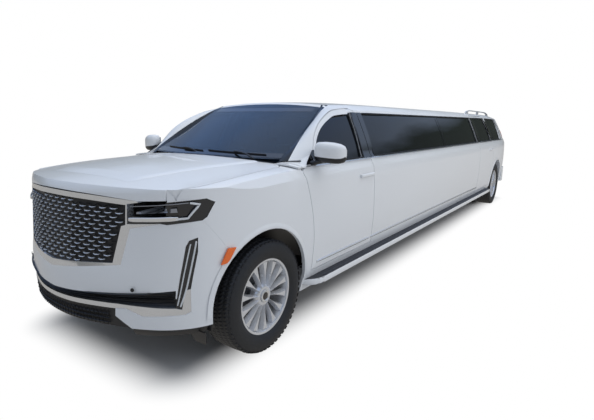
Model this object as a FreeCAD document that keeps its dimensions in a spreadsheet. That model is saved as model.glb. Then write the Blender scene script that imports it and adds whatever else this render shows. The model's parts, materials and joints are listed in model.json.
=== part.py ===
import FreeCAD, Part
import Sketcher
import math
import os

# Stretch limousine built on a full-size luxury SUV.
# Frame: +Z up from the ground, +X to the car's left, the nose points along -Y.
# The origin lies on the ground below the middle of the car.

doc = FreeCAD.newDocument("StretchLimousine")
sheet = doc.addObject("Spreadsheet::Sheet", "Sizes")

SIZES = [
    # overall
    ("wheelbase", 7643), ("front_overhang", 1026), ("rear_overhang", 1285),
    ("body_half_width", 1029), ("roof_top", 1878), ("roof_rail_height", 26),
    # heights of the body side
    ("sill_bottom", 300), ("door_bottom", 470), ("lower_crease", 690), ("widest_height", 960),
    ("upper_crease", 1236), ("belt", 1317), ("glass_base", 1326), ("glass_top", 1752),
    ("door_top", 1788), ("cant_height", 1842),
    # how far each height lies inboard of the widest point
    ("in_sill", 75), ("in_door_bottom", 28), ("in_crease", 9.5), ("in_belt", 43),
    ("in_glass_base", 55), ("in_glass_mid", 137), ("in_door_top", 254), ("in_cant", 372),
    # walls and gaps
    ("door_wall", 120), ("pillar_wall", 46), ("roof_wall", 40), ("panel_wall", 22),
    ("shut_gap", 8), ("skin_depth", 14), ("inner_step", 24), ("seal_lap", 6), ("seal_depth", 12),
    ("lamp_depth", 36),
    ("glass_inset", 8), ("glass_thickness", 6), ("seat_clearance", 0.3), ("seam", 0.6),
    # wheels, hubs and brakes
    ("tyre_radius", 417), ("tyre_width", 275), ("rim_radius", 299), ("rim_width", 228),
    ("track", 1740), ("kingpin_inset", 62),
    ("hub_radius", 78), ("disc_radius", 165), ("disc_thickness", 30), ("cap_radius", 43),
    ("spoke_count", 14), ("spoke_foot", 22), ("spoke_flare", 74), ("spoke_depth", 40), ("spoke_bevel", 14),
    # wheel arches
    ("front_arch_radius", 487), ("rear_arch_radius", 487), ("arch_height", 440), ("front_wheelhouse", 500),
    ("rear_wheelhouse", 690), ("liner_wall", 8),
    # frame
    ("rail_spacing", 800), ("rail_width", 90), ("rail_height", 170), ("rail_bottom", 300),
    ("floor_height", 470), ("floor_thickness", 30),
    # running board
    ("board_top", 400), ("board_thickness", 45), ("board_edge", 1075), ("board_inner", 880),
    # glass and doors along the car, measured back from the front axle
    ("front_door_front", 415), ("front_door_foot", 575), ("front_door_rear", 1645),
    ("rear_door_front", 6100), ("rear_door_rear", 7220),
    ("stretch_glass_front", 1725), ("stretch_glass_rear", 6040),
    ("quarter_glass_front", 7290), ("quarter_glass_rear", 8060),
]
for row, (alias, value) in enumerate(SIZES, start=1):
    sheet.set("A%d" % row, alias.replace("_", " "))
    sheet.set("B%d" % row, str(value))
    sheet.setAlias("B%d" % row, alias)
doc.recompute()


class Size(float):
    """A length that remembers how it follows from the sheet's cells."""

    def __new__(cls, value, rule):
        made = float.__new__(cls, value)
        made.rule = rule
        return made

    def __add__(self, other):
        return Size(float(self) + float(other), "(%s + %s)" % (self.rule, rule_of(other)))

    def __radd__(self, other):
        return Size(float(other) + float(self), "(%s + %s)" % (rule_of(other), self.rule))

    def __sub__(self, other):
        return Size(float(self) - float(other), "(%s - %s)" % (self.rule, rule_of(other)))

    def __rsub__(self, other):
        return Size(float(other) - float(self), "(%s - %s)" % (rule_of(other), self.rule))

    def __mul__(self, other):
        return Size(float(self) * float(other), "(%s * %s)" % (self.rule, rule_of(other)))

    def __truediv__(self, other):
        return Size(float(self) / float(other), "(%s / %s)" % (self.rule, rule_of(other)))

    def __neg__(self):
        return Size(-float(self), "(0 - %s)" % self.rule)


def rule_of(value):
    """The expression that a value follows, or the value itself as text."""
    return getattr(value, "rule", "%.4f" % value)


class Values:
    """The sheet's cells, as numbers that keep their rule."""

    def __getattr__(self, alias):
        return Size(sheet.get(alias), "Sizes." + alias)


S = Values()
LENGTH = S.front_overhang + S.wheelbase + S.rear_overhang
FRONT = -LENGTH / 2
REAR = LENGTH / 2
FRONT_AXLE = FRONT + S.front_overhang
REAR_AXLE = REAR - S.rear_overhang
FAR = 3000
TINY = 0.01


def vec(x, y, z):
    return FreeCAD.Vector(x, y, z)


def back(distance):
    """A place along the car, given as its distance behind the front axle."""
    return FRONT_AXLE + distance


# Helpers that make wires, faces and solids

def edges_through(points):
    """Edges from a list of points; an item ("arc", middle, end) bends and ("curve", points) flows."""
    edges = []
    here = points[0]
    for item in points[1:]:
        if isinstance(item, tuple) and item[0] == "arc":
            edges.append(Part.Arc(here, item[1], item[2]).toShape())
            here = item[2]
        elif isinstance(item, tuple) and item[0] == "curve":
            curve = Part.BSplineCurve()
            curve.interpolate([here] + item[1])
            edges.append(curve.toShape())
            here = item[1][-1]
        else:
            edges.append(Part.LineSegment(here, item).toShape())
            here = item
    if here.distanceToPoint(points[0]) > TINY:
        edges.append(Part.LineSegment(here, points[0]).toShape())
    return edges


def wire(points):
    return Part.Wire(edges_through(points))


def prism(points, direction):
    return Part.Face(wire(points)).extrude(direction)


def lift(points, place):
    """Turn pairs into vectors; place says how a pair becomes a vector."""
    out = []
    for item in points:
        if item[0] == "arc":
            out.append(("arc", place(*item[1]), place(*item[2])))
        elif item[0] == "curve":
            out.append(("curve", [place(*pair) for pair in item[1]]))
        else:
            out.append(place(*item))
    return out


def side_prism(points, x0, x1):
    """A solid with its outline in the side view, between two planes across the car."""
    return prism(lift(points, lambda y, z: vec(x0, y, z)), vec(x1 - x0, 0, 0))


def plan_prism(points, z0, z1):
    """A solid with its outline seen from above."""
    return prism(lift(points, lambda x, y: vec(x, y, z0)), vec(0, 0, z1 - z0))


def section_prism(points, y0, y1):
    """A solid with its outline seen from the front."""
    return prism(lift(points, lambda x, z: vec(x, y0, z)), vec(0, y1 - y0, 0))


def box(x0, x1, y0, y1, z0, z1):
    return Part.makeBox(x1 - x0, y1 - y0, z1 - z0, vec(x0, y0, z0))


def mirror(shape):
    return shape.mirror(vec(0, 0, 0), vec(1, 0, 0))


def both(shape):
    return Part.makeCompound([shape, mirror(shape)])


def corners_of(points):
    """Every point of an outline in order, those on its curves too."""
    flat = []
    for item in points:
        if item[0] == "arc":
            flat += [item[1], item[2]]
        elif item[0] == "curve":
            flat += item[1]
        else:
            flat.append(item)
    return flat


def grow(points, distance):
    """The same closed outline, moved outwards, or inwards where the distance is negative."""
    flat = corners_of(points)
    if math.dist(flat[0], flat[-1]) < TINY:
        flat = flat[:-1]
    count = len(flat)
    area = sum(flat[i - 1][0] * flat[i][1] - flat[i][0] * flat[i - 1][1] for i in range(count))
    turn = distance if area > 0 else -distance
    moved = []
    for i in range(count):
        before, here, after = flat[i - 1], flat[i], flat[(i + 1) % count]
        first = unit(here[0] - before[0], here[1] - before[1])
        second = unit(after[0] - here[0], after[1] - here[1])
        normal = (first[1] + second[1], -first[0] - second[0])
        scale = turn / (1 + first[0] * second[0] + first[1] * second[1])
        moved.append((here[0] + normal[0] * scale, here[1] + normal[1] * scale))
    moved.append(moved[0])
    grown = []
    index = 0
    for item in points:
        if item[0] == "arc":
            grown.append(("arc", moved[index], moved[index + 1]))
            index += 2
        elif item[0] == "curve":
            grown.append(("curve", moved[index:index + len(item[1])]))
            index += len(item[1])
        else:
            grown.append(moved[index])
            index += 1
    return grown


def unit(a, b):
    size = math.hypot(a, b)
    return a / size, b / size


def grown_prism(points, distance, x0, x1):
    return side_prism(grow(points, distance), x0, x1)


def solids_of(shape, smallest=2000):
    """Only the real solids of a shape, without slivers."""
    kept = [solid for solid in shape.Solids if solid.Volume > smallest]
    return kept[0] if len(kept) == 1 else Part.makeCompound(kept)


def biggest(shape):
    return max(shape.Solids, key=lambda solid: solid.Volume)


NODES = []


def node(label, shape):
    """Keep a free-form sub-part as an object of the document."""
    feature = doc.addObject("Part::Feature", label)
    feature.Label = label
    feature.Shape = shape
    NODES.append(feature)
    return feature


def named(label, made):
    """Keep an object made of bound pieces as a sub-part."""
    made.Label = label
    NODES.append(made)
    return made


# Helpers that make document objects bound to the sheet

def put(made, x, y, z):
    for axis, place in (("x", x), ("y", y), ("z", z)):
        made.setExpression("Placement.Base." + axis, rule_of(place))
    return made


def block(name, x0, x1, y0, y1, z0, z1):
    made = doc.addObject("Part::Box", name)
    made.setExpression("Length", rule_of(x1 - x0))
    made.setExpression("Width", rule_of(y1 - y0))
    made.setExpression("Height", rule_of(z1 - z0))
    return put(made, x0, y0, z0)


def rod(name, radius, length, start, direction):
    """A round bar or disc from a starting point."""
    made = doc.addObject("Part::Cylinder", name)
    made.setExpression("Radius", rule_of(radius))
    made.setExpression("Height", rule_of(length))
    made.Placement = FreeCAD.Placement(vec(0, 0, 0), FreeCAD.Rotation(vec(0, 0, 1), direction))
    return put(made, *start)


def ball(name, radius, place):
    made = doc.addObject("Part::Sphere", name)
    made.setExpression("Radius", rule_of(radius))
    return put(made, *place)


def solid(name, shape):
    """A hull or a tool that follows the car's curved skin."""
    made = doc.addObject("Part::Feature", name)
    made.Shape = shape
    return made


def fused(name, pieces):
    made = doc.addObject("Part::MultiFuse", name)
    made.Shapes = pieces
    return made


def less(name, base, tool):
    made = doc.addObject("Part::Cut", name)
    made.Base = base
    made.Tool = tool
    return made


def within(name, base, tool):
    made = doc.addObject("Part::Common", name)
    made.Base = base
    made.Tool = tool
    return made


def mirrored(name, source):
    made = doc.addObject("Part::Mirroring", name)
    made.Source = source
    made.Normal = (1, 0, 0)
    return made


def together(name, pieces):
    made = doc.addObject("Part::Compound", name)
    made.Links = pieces
    return made


def origin_plane(body, role):
    return [plane for plane in body.Origin.OriginFeatures if plane.Role == role][0]


def pin(sketch, edge, end, corner):
    """Dimension one end of an edge from the sketch's origin."""
    for kind, place in (("DistanceX", corner[0]), ("DistanceY", corner[1])):
        number = sketch.addConstraint(Sketcher.Constraint(kind, -1, 1, edge, end, float(place)))
        if hasattr(place, "rule"):
            sketch.setExpression("Constraints[%d]" % number, place.rule)


def sketch_of(body, role, outline, offset=0):
    """A sketch on one of the body's own planes; its corners are dimensioned from the origin."""
    sketch = body.newObject("Sketcher::SketchObject", body.Name + "Outline")
    sketch.AttachmentSupport = [(origin_plane(body, role), "")]
    sketch.MapMode = "FlatFace"
    sketch.setExpression("AttachmentOffset.Base.z", rule_of(offset))
    here = outline[0]
    ends = []
    for item in outline[1:] + [outline[0]]:
        start = vec(here[0], here[1], 0)
        bent = item[0] == "arc"
        corner = item[2] if bent else item
        end = vec(corner[0], corner[1], 0)
        if start.distanceToPoint(end) < TINY:
            continue
        edge = Part.Arc(start, vec(item[1][0], item[1][1], 0), end) if bent else Part.LineSegment(start, end)
        index = sketch.addGeometry(edge, False)
        first = 1 if sketch.getPoint(index, 1).distanceToPoint(start) < TINY else 2
        pin(sketch, index, first, here)
        if bent:
            sketch.addConstraint(Sketcher.Constraint("Radius", index, sketch.Geometry[index].Radius))
        ends.append((index, first))
        here = corner
    for (before, first), (after, start) in zip(ends[-1:] + ends[:-1], ends):
        sketch.addConstraint(Sketcher.Constraint("Coincident", before, 3 - first, after, start))
    return sketch


def slab(name, role, outline, start, length):
    """A body padded from an outline; the outline's plane lies at a distance along its own normal."""
    body = doc.addObject("PartDesign::Body", name)
    pad = body.newObject("PartDesign::Pad", name + "Pad")
    pad.Profile = sketch_of(body, role, outline, start)
    pad.setExpression("Length", rule_of(length))
    return body


def turned(body, outline):
    """A profile of (along the axle, radius) pairs turned about the body's X axis."""
    sketch = sketch_of(body, "XZ_Plane", outline)
    turn = body.newObject("PartDesign::Revolution", body.Name + "Turned")
    turn.Profile = sketch
    turn.ReferenceAxis = (sketch, ["H_Axis"])
    turn.Angle = 360
    return sketch


# The hull: body sections from sill to roof, at stations along the car

BODY_STATIONS = [
    # distance behind the front axle, half width less than the widest, roof lower than its top
    (250, 0, 60), (900, 0, 50), (1200, 0, 30), (1600, 0, 12), (2200, 0, 2), (3200, 0, 0),
    (4400, 0, 0), (5600, 0, 0), (6600, 0, 4), (7300, 0, 10), (7700, 1, 15), (8000, 8, 22),
    (8300, 27, 30), (8600, 60, 42), (8800, 94, 52), (8960, 130, 62),
]


def body_section(y, width_loss, roof_loss, inset_low, inset_up, inset_roof):
    """One closed section of the body, as wide as the car, moved inwards by the insets."""
    half = S.body_half_width - width_loss - inset_low
    high = S.body_half_width - width_loss - inset_up
    squash = (S.roof_top - roof_loss - inset_roof - S.glass_base) / (S.roof_top - S.glass_base)

    def up(z):
        return S.glass_base + (z - S.glass_base) * squash

    side = [
        (half - S.in_sill, S.sill_bottom),
        (half - S.in_door_bottom, S.door_bottom),
        (half - S.in_crease, S.lower_crease),
        ("arc", (half, S.widest_height), (half - S.in_crease, S.upper_crease)),
        (half - S.in_belt, S.belt),
        (high - S.in_glass_base, S.glass_base),
        ("arc", (high - S.in_glass_mid, up(1540)), (high - S.in_door_top, up(S.door_top))),
        ("arc", (high - (S.in_door_top + S.in_cant) / 2 - 14, up(1823)),
         (high - S.in_cant, up(S.cant_height))),
    ]
    left = edges_through_open(lift(side, lambda x, z: vec(x, y, z)))
    right = edges_through_open(lift(side, lambda x, z: vec(-x, y, z)))
    top_left = vec(high - S.in_cant, y, up(S.cant_height))
    top_right = vec(-top_left.x, y, top_left.z)
    crown = Part.Arc(top_left, vec(0, y, up(S.roof_top)), top_right).toShape()
    foot = Part.LineSegment(vec(S.in_sill - half, y, S.sill_bottom), vec(half - S.in_sill, y, S.sill_bottom))
    return Part.Wire([foot.toShape()] + left + [crown] + right[::-1])


def edges_through_open(points):
    edges = edges_through(points)
    return edges[:-1]


def body_hull(inset_low=0, inset_up=0, inset_roof=0):
    wires = [body_section(back(y), width, roof, inset_low, inset_up, inset_roof)
             for y, width, roof in BODY_STATIONS]
    return Part.makeLoft(wires, True, False)


FRONT_STATIONS = [
    # distance behind the front axle, width loss, crease, shoulder, fender top, hood middle
    (-1040, 34, 1130, 1172, 1204, 1262), (-820, 26, 1168, 1215, 1244, 1290),
    (-600, 17, 1190, 1240, 1270, 1318), (-300, 9, 1214, 1270, 1296, 1345),
    (0, 4, 1230, 1292, 1312, 1362), (300, 0, 1236, 1306, 1322, 1374), (700, 0, 1236, 1317, 1330, 1382),
]


def front_section(y, width_loss, crease, shoulder, fender_top, middle, inset, inset_top):
    half = S.body_half_width - width_loss - inset
    side = [
        (half - S.in_sill, S.sill_bottom),
        (half - S.in_door_bottom, S.door_bottom),
        (half - S.in_crease, S.lower_crease),
        ("arc", (half, S.widest_height), (half - S.in_crease, crease - inset_top)),
        (half - S.in_belt, shoulder - inset_top),
        ("arc", (half - 90, fender_top - 8 - inset_top), (half - 170, fender_top - inset_top)),
    ]
    left = edges_through_open(lift(side, lambda x, z: vec(x, y, z)))
    right = edges_through_open(lift(side, lambda x, z: vec(-x, y, z)))
    corner = vec(half - 170, y, fender_top - inset_top)
    crown = Part.Arc(corner, vec(0, y, middle - inset_top), vec(-corner.x, y, corner.z)).toShape()
    foot = Part.LineSegment(vec(S.in_sill - half, y, S.sill_bottom), vec(half - S.in_sill, y, S.sill_bottom))
    return Part.Wire([foot.toShape()] + left + [crown] + right[::-1])


NOSE_PLAN = [(200, -955), (350, -920), (500, -875), (650, -810), (750, -755), (850, -670), (920, -570),
             (968, -430), (1000, -250), (1020, 0), (1032, 300), (1034, 720)]


# How far the nose leans forward at each height
NOSE_LEAN = [(200, 0), (420, 34), (560, 50), (650, 55), (710, 56), (760, 50), (800, 40), (980, 22),
             (1190, 0),
             (1225, -2), (1250, -12), (1275, -34), (1300, -80), (1330, -160), (1400, -400), (1500, -760)]


def nose_outline(inset, lean, z):
    left = []
    for x, y in NOSE_PLAN:
        slope = inset * (1 if y > -300 else 0.75)
        forward = lean * max(0, 1 - (x / 950) ** 2)
        left.append((x - slope * min(1, x / 900), back(y - forward) + (inset if y < -500 else inset * 0.3)))
    middle = (0, back(-970 - lean) + inset)
    right = [(-x, y) for x, y in left]
    outline = [right[-1], ("curve", right[-2::-1] + [middle] + left)]
    return wire(lift(outline, lambda x, y: vec(x, y, z)))


def nose_block(inset=0):
    """Everything behind the face of the nose, moved back by the inset."""
    return Part.makeLoft([nose_outline(inset, lean, z) for z, lean in NOSE_LEAN], True, True)


def front_hull(inset=0, inset_top=0):
    wires = [front_section(back(y), w, c, s, f, m, inset, inset_top) for y, w, c, s, f, m in FRONT_STATIONS]
    loft = Part.makeLoft(wires, True, False)
    return loft.common(nose_block(inset))


# The windshield's slope, as a solid that holds everything ahead of the glass

SHIELD_FOOT = (765, 485, 1374, 330, 1388)
SHIELD_HEAD = (653, 1159, 1757, 1072, 1822)


def shield_wire(stretch, shift):
    """A closed wire through the slanted line of the glass; stretch 0 is its foot, 1 its head."""
    names = []
    for foot, head in zip(SHIELD_FOOT, SHIELD_HEAD):
        names.append(foot + (head - foot) * stretch)
    half, side_y, side_z, mid_y, mid_z = names
    wide = 1300 / half
    corner = vec(half * wide, back(mid_y + (side_y - mid_y) * wide ** 2) + shift, mid_z + (side_z - mid_z))
    middle = vec(0, back(mid_y) + shift, side_z)
    ahead = back(-1500)
    points = [vec(-corner.x, corner.y, side_z), ("arc", middle, vec(corner.x, corner.y, side_z)),
              vec(corner.x, ahead, side_z), vec(-corner.x, ahead, side_z)]
    return wire(points)


def ahead_of_shield(shift=0):
    return Part.makeLoft([shield_wire(-0.6, shift), shield_wire(1.8, shift)], True, True)


# Outlines in the side view

def front_door_outline():
    front, foot, rear = S.front_door_front, S.front_door_foot, S.front_door_rear
    return [
        (back(foot), S.door_bottom), (back(rear + 40), S.door_bottom), (back(rear + 40), S.lower_crease),
        (back(rear), S.belt), (back(rear + 8), 1540), (back(rear - 25), S.door_top - 20),
        (back(rear - 60), S.door_top), (back(rear - 215), S.door_top),
        ("curve", [(back(1150), 1745), (back(979), 1697), (back(680), 1540), (back(front), S.belt)]),
        ("curve", [(back(front + 45), 1200), (back(front + 118), 960), (back(foot), S.lower_crease)]),
    ]


def rear_door_outline():
    front, rear = S.rear_door_front, S.rear_door_rear
    low_rear = S.wheelbase - S.rear_arch_radius - 52
    return [
        (back(front), S.door_bottom), (back(low_rear), S.door_bottom),
        ("arc", (back(low_rear + 12), 620), (back(rear - 12), 960)), (back(rear), S.belt),
        (back(rear - 30), 1560), (back(rear - 110), S.door_top - 12), (back(rear - 170), S.door_top),
        (back(front), S.door_top),
    ]


def front_door_window():
    rear = S.front_door_rear - 165
    return [
        (back(640), S.glass_base + 12), (back(rear), S.glass_base + 12), (back(rear + 60), S.glass_top),
        (back(1180), S.glass_top - 28),
        ("curve", [(back(960), 1652), (back(760), 1528), (back(640), S.glass_base + 12)]),
    ]


def rear_door_window():
    front, rear = S.rear_door_front + 60, S.rear_door_rear - 75
    return [
        (back(front), S.glass_base + 12), (back(rear), S.glass_base + 12), (back(rear - 30), 1580),
        (back(rear - 95), S.glass_top), (back(front), S.glass_top),
    ]


def stretch_window():
    front, rear = S.stretch_glass_front, S.stretch_glass_rear
    return [(back(front), S.glass_base + 12), (back(rear), S.glass_base + 12),
            (back(rear), S.glass_top), (back(front + 10), S.glass_top)]


def quarter_window():
    front, rear = S.quarter_glass_front, S.quarter_glass_rear
    return [(back(front), S.glass_base + 12), (back(rear), S.glass_base + 12), (back(rear + 90), 1600),
            (back(rear + 60), S.glass_top - 14), (back(front - 110), S.glass_top), (back(front - 30), 1580)]


def arch_prism(axle, radius, x0, x1):
    centre_y = axle
    points = [(centre_y - radius, 0), (centre_y - radius, S.arch_height),
              ("arc", (centre_y, S.arch_height + radius), (centre_y + radius, S.arch_height)),
              (centre_y + radius, 0)]
    return side_prism(points, x0, x1)


def wheel_room(axle, inner, radius):
    """The space that a left wheel takes inside the body."""
    return arch_prism(axle, radius, inner, FAR)


TAIL = [(back(-300), 200), (back(-300), 2000), (back(8740), 2000), (back(8790), 1760), (back(8880), 1300),
        (back(8915), 1150), (back(8910), 700), (back(8880), 200)]

COWL_EDGE = 745

print("hulls")
HULL = body_hull().common(side_prism(TAIL, -FAR, FAR))
CABIN = body_hull(S.door_wall, S.pillar_wall, S.roof_wall)
NOSE = front_hull()
NOSE_ROOM = front_hull(S.panel_wall, S.panel_wall)

FLOOR_TOP = S.floor_height + S.floor_thickness
GATE_EDGE = 700
GATE_CAP = 1740
GATE_FRONT = back(8440)
GATE_BOTTOM = 712
GATE_OUTLINE = [(-GATE_EDGE, GATE_BOTTOM), (GATE_EDGE, GATE_BOTTOM), (GATE_EDGE, GATE_CAP), (900, GATE_CAP),
                (900, 2000), (-900, 2000), (-900, GATE_CAP), (-GATE_EDGE, GATE_CAP)]


# Walls of the cabin: outer hull less the room inside
cabin_room = CABIN.common(box(-FAR, FAR, back(-200), back(8850), FLOOR_TOP, FAR))
shell = HULL.cut(cabin_room)
shell = shell.cut(ahead_of_shield(14))

# The region of the body sides begins where the fenders end
fender_end = [(back(S.front_door_foot) - S.shut_gap, S.sill_bottom - 50),
              (back(S.front_door_foot) - S.shut_gap, S.lower_crease),
              ("curve", [(back(S.front_door_front + 118) - S.shut_gap, 960),
                         (back(S.front_door_front + 45) - S.shut_gap, 1200),
                         (back(S.front_door_front) - S.shut_gap, S.belt)]),
              (back(S.front_door_front) - S.shut_gap, S.belt + 80),
              (REAR + 100, S.belt + 80), (REAR + 100, S.sill_bottom - 50)]
behind_fender = side_prism(fender_end, -FAR, FAR)
above_belt = box(-FAR, FAR, back(100), REAR + 100, S.belt - 0.5, FAR)


def panel(outline, gap, x_in=300):
    return grown_prism(outline, gap, x_in, FAR)


print("body side")
ROOF_EDGE = S.body_half_width - S.in_cant
bumper_top = GATE_BOTTOM - 6

side_region = shell.common(behind_fender.fuse(above_belt))
side_left = side_region.common(box(350, FAR, FRONT, REAR + 100, 0, FAR))
SKIN_INNER = body_hull(S.skin_depth, S.skin_depth, S.skin_depth)
seal_out = S.skin_depth + S.seat_clearance
seal_in = seal_out + S.seal_depth
seal_skin = body_hull(seal_out, seal_out, seal_out).cut(body_hull(seal_in, seal_in, seal_in))
seal_skin = seal_skin.cut(ahead_of_shield(14))


def seal(outline):
    """The lip round a door's opening, against which the door's skin rests."""
    ring = seal_skin.common(panel(outline, S.shut_gap + 1)).cut(panel(outline, -S.seal_lap))
    return ring.common(behind_fender.fuse(above_belt))


for outline in (front_door_outline(), rear_door_outline()):
    side_left = side_left.cut(panel(outline, S.shut_gap)).fuse(seal(outline))
for window in (stretch_window(), quarter_window()):
    side_left = side_left.cut(panel(window, 0))
side_left = side_left.cut(wheel_room(REAR_AXLE, S.rear_wheelhouse, S.rear_arch_radius))
side_left = side_left.cut(box(0, FAR, GATE_FRONT, REAR + 100, 0, bumper_top))
side_left = side_left.cut(section_prism(grow(GATE_OUTLINE, S.shut_gap), GATE_FRONT - S.shut_gap, REAR + 100))
TAIL_LAMP = [(back(8640), 905), (back(9200), 905), (back(9200), 1660), (back(8560), 1660),
             (back(8600), 1330)]



def behind_lamp(depth):
    """What lies deeper in the corner than the lamp's housing."""
    return body_hull(depth, depth, depth).common(side_prism(grow(TAIL, -depth), -FAR, FAR))


tail_lamp = side_left.common(side_prism(TAIL_LAMP, GATE_EDGE, FAR)).cut(behind_lamp(S.lamp_depth))
lamp_pocket = side_prism(grow(TAIL_LAMP, S.seat_clearance), GATE_EDGE, FAR)
lamp_pocket = lamp_pocket.cut(behind_lamp(S.lamp_depth + S.seat_clearance))
side_left = side_left.cut(lamp_pocket)
# the roof panel lies between the sides
ROOF_HALF = ROOF_EDGE - 6
side_left = side_left.cut(box(0, ROOF_HALF, FRONT, REAR + 100, S.belt, FAR))
# the floor takes the space between the sills
side_left = side_left.cut(box(0, S.board_inner - 60, FRONT, REAR + 100, 0, FLOOR_TOP + 1))
GATE_ROOM = [(back(8700), 1760), (back(8795), 1290), (back(8825), 1150), (back(8820), 650)]
side_left = biggest(side_left)
tail_lamp = biggest(tail_lamp)
node("tail_lamps", both(biggest(tail_lamp)))
node("body_side_left", side_left)
node("body_side_right", mirror(side_left))

print("roof")
roof = shell.common(box(-ROOF_HALF + 0.3, ROOF_HALF - 0.3, back(900), GATE_FRONT - 8, 1600, FAR))
roof = biggest(roof)
node("roof", roof)

print("doors")


def door(outline, window):
    """A door: an outer skin to its shut line and an inner box set back from it."""
    skin_hull = HULL.cut(SKIN_INNER)
    outer = skin_hull.common(grown_prism(outline, 0, 300, FAR))
    inner = HULL.cut(CABIN).common(grown_prism(outline, -S.inner_step, 300, FAR))
    whole = outer.fuse(inner)
    whole = whole.cut(panel(window, 0))
    return biggest(whole)


front_door = door(front_door_outline(), front_door_window())
front_door = biggest(front_door.cut(ahead_of_shield(30)))
rear_door = door(rear_door_outline(), rear_door_window())
rear_door = biggest(rear_door.cut(arch_prism(REAR_AXLE, S.rear_arch_radius + 20, 300, FAR)))


def handle(rear):
    """A door's pull handle, its rear end at the given distance; between its feet it stands off the skin."""
    bar = box(1000, 1047, back(rear - 280), back(rear), 1152, 1184)
    bar = bar.makeFillet(12, [edge for edge in bar.Edges if edge.BoundBox.XMin > 1040])
    hollow = box(900, 1033, back(rear - 235), back(rear - 45), 1140, 1196)
    return bar.cut(hollow).cut(behind_lamp(4))


front_door = front_door.fuse(handle(1635))
rear_door = rear_door.fuse(handle(7110))
node("door_front_left", front_door)
node("door_front_right", mirror(front_door))
node("door_rear_left", rear_door)
node("door_rear_right", mirror(rear_door))

print("glass")
GLASS_OUT = body_hull(S.glass_inset, S.glass_inset, S.glass_inset)
GLASS_IN = body_hull(S.glass_inset + S.glass_thickness, S.glass_inset + S.glass_thickness, S.glass_inset)
glass_skin = GLASS_OUT.cut(GLASS_IN).common(box(400, FAR, FRONT, REAR, S.belt, FAR))


def pane(outline):
    return biggest(glass_skin.common(grown_prism(outline, -S.seat_clearance, 300, FAR)))


front_glass = pane(front_door_window())
rear_glass = pane(rear_door_window())
node("glass_front_left", front_glass)
node("glass_front_right", mirror(front_glass))
node("glass_rear_left", rear_glass)
node("glass_rear_right", mirror(rear_glass))
fixed = [pane(stretch_window()), pane(quarter_window())]
node("side_glass", Part.makeCompound(fixed + [mirror(each) for each in fixed]))

print("windshield")
shield = ahead_of_shield(14 - S.seat_clearance).cut(ahead_of_shield(2))
shield = shield.common(body_hull(S.pillar_wall / 2, S.pillar_wall / 2, 16))
SHIELD_FOOT_Z = 1368
SHIELD_FRONT = [(-775, SHIELD_FOOT_Z), (775, SHIELD_FOOT_Z), (700, 1660), (660, 1770), (600, 1900),
                (-600, 1900), (-660, 1770), (-700, 1660)]
shield = shield.common(section_prism(SHIELD_FRONT, back(-200), back(1400)))
shield = shield.cut(box(-FAR, FAR, back(-200), back(1400), 1838, FAR))
node("windshield", biggest(shield))

print("front")
# hood: the middle of the nose's top
HOOD_OUTLINE = [(800, FRONT - 60), (800, back(-713)),
                ("curve", [(854, back(-664)), (906, back(-414)), (892, back(-80)), (854, back(260))]),
                ("arc", (838, back(345)), (COWL_EDGE, back(390))),
                ("arc", (0, back(250)), (-COWL_EDGE, back(390))),
                ("arc", (-838, back(345)), (-854, back(260))),
                ("curve", [(-892, back(-80)), (-906, back(-414)), (-854, back(-664)), (-800, back(-713))]),
                (-800, FRONT - 60)]
HOOD_FRONT = [(652, 1192), (800, 1198), (FAR, 1198), (FAR, FAR), (-FAR, FAR), (-FAR, 1198), (-800, 1198),
              (-652, 1192), ("arc", (0, 1230), (652, 1192))]
hood_hole = plan_prism(HOOD_OUTLINE, 1100, 1700)
hood_in = plan_prism(grow(HOOD_OUTLINE, -S.shut_gap), 1100, 1700)
hood = hood_in.common(section_prism(HOOD_FRONT, FRONT - 100, back(600)))
hood = biggest(hood.common(NOSE).cut(NOSE_ROOM))
node("hood", hood)

# headlamp, upright lamp, grille and intake openings, seen from the front
LAMP = [(584, 1052), (764, 1061), (795, 1053), (926, 1071), (938, 1090), (956, 1178), (938, 1204),
        (775, 1186), (584, 1168)]
DAY_LAMP = [(913, 968), (880, 950), (868, 916), (823, 530), (851, 515), (866, 640), (887, 645), (912, 880)]
GRILLE = [(652, 1184), (584.6, 1173), (584.6, 1052), (606, 1051), (770, 1060), (604, 1026), (548, 798),
          (0, 725), (-548, 798), (-604, 1026), (-770, 1060), (-606, 1051), (-584.6, 1052), (-584.6, 1173),
          (-652, 1184), (-640, 1193), ("arc", (0, 1222), (640, 1193))]
MESH = [(576, 1166), (576, 1046), (550, 1038), (498, 806), (0, 770), (-498, 806), (-550, 1038), (-576, 1046),
        (-576, 1166), ("arc", (0, 1189), (576, 1166))]
INTAKE = [(832, 642), (680, 628), (470, 609), (0, 582), (-470, 609), (-680, 628), (-832, 642), (-826, 526),
          (-519, 546), (0, 538), (519, 546), (826, 526)]
# the bright strip below the intake, with its foot round the upright lamp
STRIP = [(0, 538), (519, 546), (826, 526), (851, 515), (866, 640), (887, 645), (886, 497), (866, 480),
         (657, 471), (565, 518), (503, 514), (0, 506), (-503, 514), (-565, 518), (-657, 471), (-866, 480),
         (-886, 497), (-887, 645), (-866, 640), (-851, 515), (-826, 526), (-519, 546)]
# the black opening below the strip; the bumper's white corners stand beside it
LOW_GRILLE = [(0, 506), (503, 514), (495, 463), (595, 380), (595, 300), (-595, 300), (-595, 380),
              (-495, 463), (-503, 514)]
BUMPER_LOW, BUMPER_HIGH = 385, 1071
# bumper against fender, seen from the side
BUMPER_SIDE = [(back(-1200), BUMPER_LOW), (back(-300), BUMPER_LOW), (back(-300), 800), (back(-410), 890),
               (back(-552), BUMPER_HIGH), (back(-1200), BUMPER_HIGH)]


def front_cut(shape, outline, grown, paired):
    """Cut an opening, seen from the front, out of a piece of the nose."""
    tool = section_prism(grow(outline, grown), FRONT - 100, back(-380))
    cut = shape.cut(tool)
    return cut.cut(mirror(tool)) if paired else cut


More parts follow.
